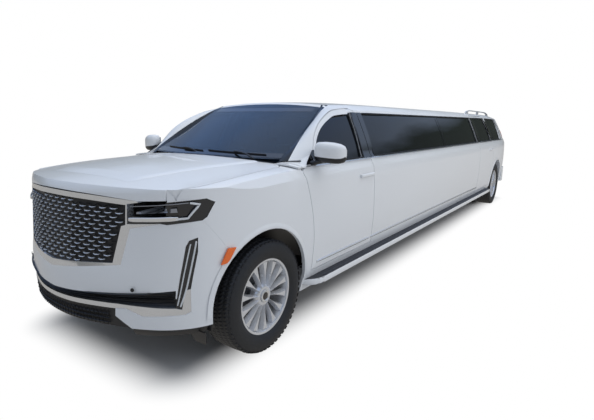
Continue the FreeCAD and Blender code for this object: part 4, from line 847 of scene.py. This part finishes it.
# x, station of the middle, z of the middle, half depth, half height
MIRROR_STATIONS = [
    (0.985, 0.640, 1.428, 0.020, 0.040), (0.990, 0.640, 1.430, 0.050, 0.066),
    (1.010, 0.642, 1.432, 0.068, 0.077), (1.060, 0.650, 1.434, 0.078, 0.080),
    (1.120, 0.664, 1.434, 0.078, 0.078), (1.170, 0.684, 1.432, 0.068, 0.071),
    (1.196, 0.700, 1.430, 0.052, 0.058), (1.208, 0.708, 1.429, 0.030, 0.038),
    (1.211, 0.710, 1.428, 0.010, 0.014)]
ARM_STATIONS = [(0.950, 0.600, 1.340, 0.052, 0.020), (0.985, 0.610, 1.345, 0.046, 0.019),
                (1.030, 0.628, 1.357, 0.044, 0.020), (1.080, 0.645, 1.372, 0.046, 0.022)]
MIRROR_INNER = 0.985
MIRROR_ROUND = 32
MIRROR_UNDER = range(17, 31)


def mirror_part(heap, upper):
    """The painted cap, or the black lower part under it."""
    points = []
    for x, y, z, deep, tall in MIRROR_STATIONS:
        lean = 0.10 * (x - MIRROR_INNER)
        for c, s in circle(MIRROR_ROUND, 0.5):
            along = math.copysign(abs(c) ** 0.62, c)
            up = math.copysign(abs(s) ** 0.72, s)
            reach = deep * (1.0 if along < 0 else 0.72)
            points.append(Vector((x, back(y + along * reach), z + up * tall - lean * (1 if up < 0 else 0.4))))
    rings = len(MIRROR_STATIONS)
    faces = [face for face in grid_faces(rings, MIRROR_ROUND, ring=True)
             if (face[0] % MIRROR_ROUND in MIRROR_UNDER) != upper]
    if upper:
        faces += [[ring * MIRROR_ROUND + j for j in range(MIRROR_ROUND)] for ring in (0, rings - 1)]
    used = sorted({index for face in faces for index in face})
    place_of = {index: number for number, index in enumerate(used)}
    heap.add([points[index] for index in used], [[place_of[index] for index in face] for face in faces])


def mirror_arm(heap):
    """A tapered black arm from the door's corner to the housing."""
    stack(heap, [[(x, back(y + c * deep), z + s * tall) for c, s in circle(16)]
                 for x, y, z, deep, tall in ARM_STATIONS])


def mirror_pane(heap):
    """The looking glass, set in the back of the housing."""
    rows = []
    for z in between(1.375, 1.485, 6):
        rows.append([Vector((x, back(0.6985 + 0.186 * max(0.0, x - 1.06)), z - 0.05 * (x - 1.0)))
                     for x in between(1.010, 1.185, 8)])
    plate(heap, rows, Vector((0, -0.006, 0)))


for name, build, finish, slot in (
        ("mirror_cap", lambda heap: mirror_part(heap, True), PAINT, "body_paint"),
        ("mirror_base", lambda heap: mirror_part(heap, False), BLACK_PLASTIC, "black_plastic"),
        ("mirror_arm", mirror_arm, BLACK_PLASTIC, "black_plastic"),
        ("mirror_pane", mirror_pane, CHROME, "chrome")):
    left, right = on_both_sides(name, build, finish, slot, "door_front_left", angle=60)
    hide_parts("mirror_left")
    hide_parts("mirror_right")


# The windshield's dark bands, the wipers and what hangs inside it

def shield_bands(heap):
    for low_half, low_z, high_half, high_z in ((0.762, 1.376, 0.752, 1.408), (0.652, 1.756, 0.640, 1.792)):
        corners = [(-low_half, low_z), (low_half, low_z), (high_half, high_z), (-high_half, high_z)]
        plate(heap, shield_grid(corners, 25, 3, 0.0012), Vector((0, 0.0005, -0.0015)))


alone("shield_bands", shield_bands, GLOSS_BLACK, "dark_glass")


def wipers():
    """Two blades that rest along the foot of the windshield, with their arms."""
    blades, arms = Heap(), Heap()
    for start, end in (((0.62, 1.392), (0.02, 1.405)), ((-0.04, 1.400), (-0.60, 1.412))):
        line = []
        for share in between(0.0, 1.0, 9):
            place, normal = shield_spot(*on_the_way(start, end, share))
            line.append((place + normal * 0.002, normal))
        bar(blades, line, 0.010, 0.011, RIDGE)
        middle, normal = line[4]
        root = Vector((start[0] - 0.03, back(0.372 - 0.08 * abs(start[0])), 1.372))
        path = [(root.lerp(middle + normal * 0.012, share) + UP * (0.016 * math.sin(math.pi * share)), normal)
                for share in between(0.0, 1.0, 6)]
        bar(arms, path, 0.016, 0.008)
    blades.make("wiper_blades", SEAL, "black_plastic")
    arms.make("wiper_arms", BLACK_PLASTIC, "black_plastic")


wipers()

SHIELD_TOP_Y = shield_place(0.0, 1.775).y
# x, half height and half depth of the inner mirror's housing
HOUSING = [(-0.125, 0.010, 0.006), (-0.118, 0.028, 0.014), (-0.06, 0.034, 0.018)]
HOUSING += [(-x, tall, deep) for x, tall, deep in HOUSING[::-1]]


def cabin_mirror(heap):
    """The inner mirror and its sensor housing behind the top of the windshield."""
    stack(heap, [[(x, SHIELD_TOP_Y + 0.135 + deep * c, 1.665 + tall * s) for c, s in circle(16)]
                 for x, tall, deep in HOUSING])
    bar(heap, [(Vector((0, SHIELD_TOP_Y + 0.125 - 0.075 * share, 1.690 + 0.072 * share)), Vector((0, -1, 0)))
               for share in between(0.0, 1.0, 5)], 0.026, 0.016)
    plate(heap, shield_grid([(-0.075, 1.700), (0.075, 1.700), (0.060, 1.800), (-0.060, 1.800)], 5, 5, -0.014),
          Vector((0, 0.030, -0.010)))


def cabin_mirror_pane(heap):
    plate(heap, [[Vector((x, SHIELD_TOP_Y + 0.154, z)) for x in between(-0.108, 0.108, 7)]
                 for z in between(1.643, 1.687, 4)], Vector((0, 0.003, 0)))


alone("cabin_mirror", cabin_mirror, BLACK_PLASTIC, "black_plastic", angle=50)
alone("cabin_mirror_pane", cabin_mirror_pane, CHROME, "chrome")


# Under the bumper's corners: black skirts and flaps that turn the air round the tyres

SKIRT = [(0.590, -0.850), (0.690, -0.800), (0.775, -0.735), (0.845, -0.655), (0.895, -0.565), (0.925, -0.480)]


def air_deflector(heap):
    skirt, flap = [], []
    for z, pull in ((0.392, 0.0), (0.360, 0.012), (0.325, 0.035)):
        skirt.append([Vector((x - pull * 0.6, back(y + pull), z)) for x, y in smooth_chain(SKIRT, 14)])
    plate(heap, skirt, Vector((-0.010, 0.012, 0)))
    for z, pull in ((0.335, 0.0), (0.285, 0.012), (0.235, 0.030)):
        flap.append([Vector((x, back(-0.560 + pull), z)) for x in between(0.770 + pull, 0.925 - pull, 6)])
    plate(heap, flap, Vector((0, 0.010, 0)))


on_both_sides("air_deflector", air_deflector, BLACK_PLASTIC, "black_plastic", angle=50)


# Roof rails: rounded bars with bent ends on three feet, in place of the plain ones

ROOF_TREE = tree_of("roof", "body_side_left")
RAIL_X, RAIL_START, RAIL_LENGTH = 0.650, 6.320, 1.810


def roof_place(share):
    """A place on the roof under the rail, at a share of its length."""
    y = back(RAIL_START + RAIL_LENGTH * share)
    return Vector((RAIL_X, y, ray(ROOF_TREE, (RAIL_X, y, 2.4), (0, 0, -1))[0].z))


def roof_rail(heap):
    path = []
    for share in between(0.0, 1.0, 25):
        end = min(1.0, 6.0 * min(share, 1 - share))
        path.append((roof_place(share) + UP * (0.004 + 0.0445 * math.sqrt(end)), UP))
    bar(heap, path, 0.030, 0.016)
    for share, tall in ((0.06, 0.030), (0.50, 0.052), (0.94, 0.030)):
        foot = [(roof_place(share) + Vector((0, along, -0.004)), UP) for along in (-0.060, 0.0, 0.060)]
        bar(heap, foot, 0.026, tall)


for piece in on_both_sides("roof_rail", roof_rail, RAIL_METAL, "rail_metal", angle=50):
    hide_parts("roof_rails")


# Rear: strip, plate frame, wiper, high lamp, blank plate, lamp guides, reflectors and valance

def gate_line(points, count):
    """Places on the rear along a chain of (x, z) corners."""
    path = []
    for here, there in zip(points, points[1:]):
        for share in between(0.0, 1.0, count):
            place, normal = on_gate(*on_the_way(here, there, share))
            if not path or (path[-1][0] - place).length > 0.001:
                path.append((place, normal))
    return path


def gate_box(half, low, high):
    return [(-half, low), (half, low), (half, high), (-half, high)]


FRAME_BOX = gate_box(0.275, 0.930, 1.065)
for name, path, width, height, shape, finish, slot in (
        ("gate_strip", gate_line([(-0.560, 1.130), (0.560, 1.130)], 12), 0.030, 0.008, {}, BRIGHT, "chrome"),
        ("plate_frame", gate_line(FRAME_BOX + FRAME_BOX[:1], 5)[:-1], 0.014, 0.007, {"closed": True},
         BLACK_PLASTIC, "black_plastic"),
        ("rear_wiper", gate_line([(0.000, 1.372), (0.330, 1.410)], 7), 0.014, 0.014, {"section": RIDGE},
         SEAL, "black_plastic"),
        ("high_lamp", gate_line([(-0.170, 1.772), (0.170, 1.772)], 5), 0.016, 0.004, {},
         RED_LENS, "red_lens")):
    alone(name, lambda heap: bar(heap, path, width, height, **shape), finish, slot, "liftgate")
PLATE_GRID = corner_grid(gate_box(0.262, 0.940, 1.056), on_gate, 5, 3)
alone("blank_plate", lambda heap: patch(heap, PLATE_GRID, 0.0025), BLANK, "body_paint", "liftgate")

TAIL_CHAIN = [(0.880, 0.960), (0.880, 1.160), (0.862, 1.300), (0.838, 1.420), (0.826, 1.520)]
trim("tail_guide", lamp_line(tree_of("tail_lamps"), 6.5, (0.35, 0.93, 0), TAIL_CHAIN, 18), 0.012, 0.004,
     TAIL_GUIDE, "red_lens")
trim("rear_reflector", gate_line([(0.640, 0.500), (0.780, 0.500)], 5), 0.026, 0.003, RED_LENS, "red_lens")


def rear_valance(heap):
    """A black band along the foot of the bumper, nearly flush with its skin."""
    rows = []
    for z in between(0.408, 0.462, 4):
        skin = [on_gate(x, z) for x in between(-0.760, 0.760, 25)]
        rows.append([(place - Vector((0, 0.0012, 0)), normal) for place, normal in skin])
    patch(heap, rows, 0.002)


alone("rear_valance", rear_valance, BLACK_PLASTIC, "black_plastic")


# Wheels: shoulder blocks and caps

BLOCKS = 56
BLOCK_HALF = math.pi / BLOCKS * 0.62
CAP_X = HUB_X + 0.098
CAP_PROFILE = [(0.000, 0.046), (0.006, 0.044), (0.009, 0.037), (0.006, 0.031), (0.004, 0.028)]


def tread_blocks(name, side, axle_y, body):
    """Small raised blocks round both shoulders of a tyre."""
    heap = Heap()
    for edge in (-1, 1):
        inner = HUB_X * side + edge * 0.098
        outer = HUB_X * side + edge * 0.1255
        section = ((inner, 0.006), (inner, 0.0005), (outer, 0.0105), (outer, 0.0155))
        for index in range(BLOCKS):
            middle = 2 * math.pi * (index + (0.5 if edge > 0 else 0.0)) / BLOCKS
            corners = []
            for angle in (middle - BLOCK_HALF, middle + BLOCK_HALF):
                for x, sunk in section:
                    r = TYRE_RADIUS - sunk
                    corners.append((x, axle_y + r * math.sin(angle), WHEEL_Z + r * math.cos(angle)))
            heap.add(corners, [[1, 2, 6, 5], [0, 1, 5, 4], [2, 3, 7, 6], [0, 3, 2, 1], [4, 5, 6, 7]])
    heap.make(name, TYRE, "tyre", body, smooth=False)


def wheel_cap(name, side, axle_y, body):
    """A dished bright ring with a dark middle."""
    def rings(profile):
        return [[((CAP_X + out) * side, axle_y + radius * s, WHEEL_Z + radius * c) for c, s in circle(28)]
                for out, radius in profile]

    bright, dark = Heap(), Heap()
    stack(bright, rings(CAP_PROFILE), low_end=False, high_end=False)
    bright.make(name + "_ring", BRIGHT, "alloy", body)
    stack(dark, rings([(0.0045, 0.0285), (0.0065, 0.014)]), low_end=False)
    dark.make(name + "_middle", GLOSS_BLACK, "black_plastic", body)


for end, axle_y in (("front", FRONT_AXLE_Y), ("rear", REAR_AXLE_Y)):
    for side_name, side in (("left", 1), ("right", -1)):
        corner = "%s_%s" % (end, side_name)
        tread_blocks("tread_" + corner, side, axle_y, "wheel_" + corner)
        wheel_cap("cap_" + corner, side, axle_y, "wheel_" + corner)


# Seats: crowned cushions with sewn channels in place of the plain blocks

CROWN = 0.016
PAD_WIDE, PAD_DEEP = 35, 25
CABIN_FLOOR = 0.501


def cushion(name, middle, across, deep, size, channels=(), cross_channels=()):
    """A stuffed pad: closed, crowned, drawn in between its corners, with grooves where it is sewn."""
    across, deep = Vector(across).normalized(), Vector(deep).normalized()
    up = across.cross(deep).normalized()
    half_wide, half_deep, thick = size

    def round_off(t):
        return math.sqrt(max(0.0, 1 - abs(t) ** 7))

    columns, rows = [[math.sin(math.pi / 2 * t) for t in between(-1, 1, count)]
                     for count in (PAD_WIDE, PAD_DEEP)]
    points = []
    for face, v, u in [(face, v, u) for face in (1, -1) for v in rows for u in columns]:
        edge = round_off(u) * round_off(v)
        x = half_wide * u * (1 - 0.030 * (1 - v * v))
        y = half_deep * v * (1 - 0.035 * (1 - u * u))
        z = face * 0.5 * (thick - CROWN) * edge - 0.5 * CROWN
        if face > 0:
            z += CROWN * (1 - u * u) * (1 - v * v)
            groove = sum(math.exp(-((x - half_wide * c) / 0.007) ** 2) for c in channels)
            groove += sum(math.exp(-((y - half_deep * c) / 0.007) ** 2) for c in cross_channels)
            z -= 0.0085 * min(1.0, groove) * edge
            border = max(abs(u) * half_wide - half_wide, abs(v) * half_deep - half_deep) + 0.022
            z += 0.003 * math.exp(-(border / 0.006) ** 2) * edge
        points.append(Vector(middle) + across * x + deep * y + up * z)
    faces = grid_faces(PAD_DEEP, PAD_WIDE)
    faces += [[PAD_WIDE * PAD_DEEP + index for index in face[::-1]] for face in faces]
    heap = Heap()
    heap.add(points, faces)
    made = heap.make(name, LEATHER, "seat_leather", angle=70)
    return made


def plinth(heap, low, high):
    """A seat's base: a box with leaning sides and a rounded top edge."""
    (x0, y0, z0), (x1, y1, z1) = low, high
    rows = []
    for z, inset in ((z0, 0.012), (z0 + 0.02, 0.012), (z1 - 0.03, 0.004), (z1 - 0.008, 0.0), (z1, 0.008)):
        rows.append([(x0 + inset, y0 + inset, z), (x1 - inset, y0 + inset, z), (x1 - inset, y1 - inset, z),
                     (x0 + inset, y1 - inset, z)])
    stack(heap, rows)


def front_seat(side_name, side, start=1.120):
    """One front seat: cushion, back, head rest, and a black base with the head rest's posts."""
    x = 0.420 * side
    made = [cushion("seat_cushion_" + side_name, (x, back(start + 0.262), 0.722), (1, 0, 0), (0, 1, 0),
                    (0.252, 0.252, 0.150), (-0.52, 0.52), (-0.40, 0.05)),
            cushion("seat_back_" + side_name, (x, back(start + 0.560), 1.045), (-1, 0, 0), (0, 0.140, 0.500),
                    (0.250, 0.250, 0.108), (-0.55, 0.55), (-0.30, 0.10, 0.50)),
            cushion("head_rest_" + side_name, (x, back(start + 0.676), 1.384), (-1, 0, 0), (0, 0.04, 0.19),
                    (0.126, 0.088, 0.082))]
    base = Heap()
    plinth(base, (x - 0.200, back(start + 0.060), CABIN_FLOOR), (x + 0.200, back(start + 0.460), 0.643))
    for offset in (-0.06, 0.06):
        post = [(Vector((x + offset, back(start + 0.650), z)), Vector((0, 1, 0))) for z in (1.27, 1.30, 1.33)]
        bar(base, post, 0.014, 0.012, tapers=False)
    made.append(base.make("seat_frame_" + side_name, BLACK_PLASTIC, "black_plastic"))
    return made


def lounge(start=2.200, end=5.900, count=4):
    """The long seat along the right side."""
    made = []
    step = (end - start) / count
    for index in range(count):
        y = back(start + step * (index + 0.5))
        made.append(cushion("lounge_cushion_%d" % index, (-0.650, y, 0.758), (0, -1, 0), (1, 0, 0),
                            (step / 2 - 0.004, 0.216, 0.180), (-0.33, 0.33), (-0.45,)))
        made.append(cushion("lounge_back_%d" % index, (-0.803, y, 1.043), (0, 1, 0), (-0.070, 0, 0.390),
                            (step / 2 - 0.004, 0.190, 0.098), (-0.33, 0.33), (0.35,)))
    base = Heap()
    plinth(base, (-0.868, back(start + 0.004), CABIN_FLOOR), (-0.440, back(end - 0.004), 0.668))
    made.append(base.make("lounge_base", VENEER, "cabinet_wood"))
    return made


def bench():
    """The seat across the rear, for three."""
    made = []
    for index in range(3):
        x = (index - 1) * 0.438
        made.append(cushion("bench_cushion_%d" % index, (x, back(7.160), 0.815), (1, 0, 0), (0, 1, 0),
                            (0.215, 0.250, 0.126), (-0.36, 0.36), (-0.20, 0.30)))
        made.append(cushion("bench_back_%d" % index, (x, back(7.518), 1.158), (-1, 0, 0), (0, 0.140, 0.570),
                            (0.215, 0.275, 0.108), (-0.40, 0.40), (-0.25, 0.35)))
    base = Heap()
    plinth(base, (-0.655, back(6.905), 0.7065), (0.655, back(7.430), 0.757))
    made.append(base.make("bench_base", VENEER, "cabinet_wood"))
    return made


for piece in front_seat("left", 1) + front_seat("right", -1):
    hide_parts("front_seats")
for piece in lounge() + bench():
    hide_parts("lounge_seats")


# Running boards: white edge and a ribbed black top

BOARD_TOP, BOARD_LOW, BOARD_INNER, BOARD_EDGE = 0.400, 0.355, 0.960, 1.075
BOARD_END = REAR_AXLE_Y - FRONT_AXLE_Y - ARCH_RADIUS - 0.060


def board_path():
    outline = [(BOARD_INNER, 0.480), (1.005, 0.508), (1.048, 0.560), (1.068, 0.615), (BOARD_EDGE, 0.680)]
    outline += [(BOARD_EDGE, y) for y in between(0.9, BOARD_END - 0.2, 30)] + [(BOARD_INNER, BOARD_END)]
    path = []
    for index, (x, y) in enumerate(outline):
        before, after = outline[max(index - 1, 0)], outline[min(index + 1, len(outline) - 1)]
        along = Vector((after[0] - before[0], after[1] - before[1], 0)).normalized()
        path.append((Vector((x, back(y), (BOARD_TOP + BOARD_LOW) / 2)), Vector((along.y, -along.x, 0))))
    return path


def board_ribs(heap):
    for x in (0.955, 0.985, 1.015, 1.045):
        path = [(Vector((x, y, BOARD_TOP)), UP) for y in between(back(0.70), back(6.86), 3)]
        bar(heap, path, 0.014, 0.003, RIDGE)


trim("board_edge", board_path(), BOARD_TOP - BOARD_LOW + 0.004, 0.004, PAINT, "body_paint")
on_both_sides("board_ribs", board_ribs, BOARD, "board_rubber")


# Camera, as the fit to the photograph gives it

CAMERA_PLACE = Vector((2.8695, -6.3466, 1.6705))
YAW, PITCH, ROLL = -0.62616, -0.17946, 0.01047
FOCAL_PX, CENTRE_U, CENTRE_V, PHOTO_W, PHOTO_H = 444.275, 284.82, 201.38, 594, 420
SENSOR = 36

forward = Vector((math.sin(YAW) * math.cos(PITCH), math.cos(YAW) * math.cos(PITCH), math.sin(PITCH)))
level = forward.cross(UP).normalized()
upward = level.cross(forward)
right = level * math.cos(ROLL) + upward * math.sin(ROLL)
above = upward * math.cos(ROLL) - level * math.sin(ROLL)
camera = bpy.data.objects.new("Camera", bpy.data.cameras.new("Camera"))
scene.collection.objects.link(camera)
turn = Matrix((right, above, -forward)).transposed().to_4x4()
camera.matrix_world = Matrix.Translation(CAMERA_PLACE) @ turn
camera.data.sensor_width = SENSOR
camera.data.lens = FOCAL_PX / PHOTO_W * SENSOR
camera.data.shift_x = (PHOTO_W / 2 - CENTRE_U) / PHOTO_W
camera.data.shift_y = (CENTRE_V - PHOTO_H / 2) / PHOTO_W
camera.data.clip_end = 200
scene.camera = camera


# Floor, sky and lamps

# painted shadow on the floor: the car's footprint, within which the floor keeps its dark grey, and the
# distances over which that fades to plain white
PAINTED_SHADOW_HALF_WIDE, PAINTED_SHADOW_HALF_LONG = 0.62, 4.48
PAINTED_SHADOW_FADE_START, PAINTED_SHADOW_FADE_END = 0.02, 0.47


def floor_finish():
    """Painted shadow: a dark grey floor near the car that takes its real shadow too, and white further out
    for the camera alone.
    """
    made = bpy.data.materials.new("PaleFloor")
    made.use_nodes = True
    tree = made.node_tree
    shader = tree.nodes["Principled BSDF"]
    place = add_node(tree, "ShaderNodeNewGeometry").outputs["Position"]
    split = add_node(tree, "ShaderNodeSeparateXYZ", {"Vector": place}).outputs

    def past(along, reach):
        distance = worked_out(tree, "SUBTRACT", worked_out(tree, "ABSOLUTE", along), reach)
        distance = worked_out(tree, "MAXIMUM", distance, 0.0)
        return worked_out(tree, "MULTIPLY", distance, distance)

    far = worked_out(tree, "SQRT", worked_out(tree, "ADD", past(split["X"], PAINTED_SHADOW_HALF_WIDE),
                                              past(split["Y"], PAINTED_SHADOW_HALF_LONG)))
    painted_shadow_fade = add_node(tree, "ShaderNodeMapRange", interpolation_type="SMOOTHSTEP",
                    inputs={"Value": far, "From Min": PAINTED_SHADOW_FADE_START, "From Max": PAINTED_SHADOW_FADE_END})
    noise = add_node(tree, "ShaderNodeTexNoise", {"Scale": 0.7})
    # painted shade: the floor's grey is kept dark, so the car's shadow reads darker close by
    painted_shadow_tone = blend(tree, noise.outputs["Fac"], (0.52, 0.52, 0.525, 1), (0.56, 0.56, 0.565, 1))
    tree.links.new(painted_shadow_tone, shader.inputs["Base Color"])
    shader.inputs["Roughness"].default_value = 0.9
    shader.inputs["Specular IOR Level"].default_value = 0.0
    plain = add_node(tree, "ShaderNodeEmission", {"Color": (1, 1, 1, 1), "Strength": 1.0})
    # painted reflection: in mirrors the floor glows a plain tan in place of the lit ground
    ground = add_node(tree, "ShaderNodeEmission", {"Color": (0.42, 0.40, 0.37, 1)})
    rays = add_node(tree, "ShaderNodeLightPath").outputs
    # painted shadow edge: past the fade, camera rays see plain white, whatever the light
    white_past_painted_shadow = worked_out(tree, "MULTIPLY", painted_shadow_fade.outputs["Result"], rays["Is Camera Ray"])
    mix = add_node(tree, "ShaderNodeMixShader", {
        "Fac": white_past_painted_shadow, 1: shader.outputs["BSDF"], 2: plain.outputs["Emission"]})
    mirrored = add_node(tree, "ShaderNodeMixShader", {
        "Fac": rays["Is Glossy Ray"], 1: mix.outputs["Shader"], 2: ground.outputs["Emission"]})
    tree.links.new(mirrored.outputs["Shader"], tree.nodes["Material Output"].inputs["Surface"])
    return made


floor_mesh = bpy.data.meshes.new("Floor")
floor_mesh.from_pydata([(-60, -60, 0), (60, -60, 0), (60, 60, 0), (-60, 60, 0)], [], [(0, 1, 2, 3)])
floor = bpy.data.objects.new("Floor", floor_mesh)
floor.location.z = -0.001
scene.collection.objects.link(floor)
floor.data.materials.append(floor_finish())


def sky_ramp(tree, height, stops):
    ramp = add_node(tree, "ShaderNodeValToRGB", {"Fac": height})
    elements = ramp.color_ramp.elements
    elements[0].position, elements[0].color = stops[0][0], (*stops[0][1], 1)
    elements[1].position, elements[1].color = stops[-1][0], (*stops[-1][1], 1)
    for position, colour in stops[1:-1]:
        elements.new(position).color = (*colour, 1)
    return ramp.outputs["Color"]


def studio():
    """Even light for matt surfaces, a sky over a dark skyline for mirrors, plain white for the camera."""
    world = bpy.data.worlds.new("Studio")
    scene.world = world
    world.use_nodes = True
    tree = world.node_tree
    rays = add_node(tree, "ShaderNodeLightPath").outputs
    place = add_node(tree, "ShaderNodeTexCoord").outputs["Generated"]
    height = add_node(tree, "ShaderNodeSeparateXYZ", {"Vector": place}).outputs["Z"]
    even = sky_ramp(tree, height, [(0.0, (0.30, 0.305, 0.31)), (1.0, (0.66, 0.74, 0.86))])
    clouds = add_node(tree, "ShaderNodeTexNoise", {"Vector": place, "Scale": 7.0, "Detail": 5.0})
    wobble = worked_out(tree, "MULTIPLY", worked_out(tree, "SUBTRACT", clouds.outputs["Fac"], 0.5), 0.22)
    sky = sky_ramp(tree, worked_out(tree, "ADD", height, wobble), [
        (0.0, (0.20, 0.19, 0.17)), (0.08, (0.07, 0.08, 0.07)), (0.20, (0.06, 0.075, 0.065)),
        (0.28, (0.34, 0.42, 0.56)), (0.60, (0.28, 0.44, 0.82)), (1.0, (0.60, 0.72, 0.95))])
    seen = blend(tree, rays["Is Glossy Ray"], even, sky)
    background = tree.nodes["Background"]
    tree.links.new(blend(tree, rays["Is Camera Ray"], seen, (1, 1, 1, 1)), background.inputs["Color"])
    background.inputs["Strength"].default_value = 1.0


studio()


def soft_lamp(name, place, aim, width, depth, power):
    """A broad lamp that lights but isn't seen, in mirrors neither."""
    lamp = bpy.data.lights.new(name, "AREA")
    lamp.shape = "RECTANGLE"
    lamp.size = width
    lamp.size_y = depth
    lamp.energy = power
    holder = bpy.data.objects.new(name, lamp)
    scene.collection.objects.link(holder)
    holder.location = place
    holder.rotation_mode = "QUATERNION"
    holder.rotation_quaternion = (Vector(aim) - Vector(place)).to_track_quat("-Z", "Y")
    holder.visible_glossy = False
    holder.visible_camera = False


soft_lamp("Overhead", (-1.0, 1.0, 7.5), (0, 0.5, 0), 8, 14, 460)
soft_lamp("SideFill", (9, 2.5, 4.5), (0, 1.0, 0.9), 12, 5, 270)

scene.view_settings.view_transform = "Standard"
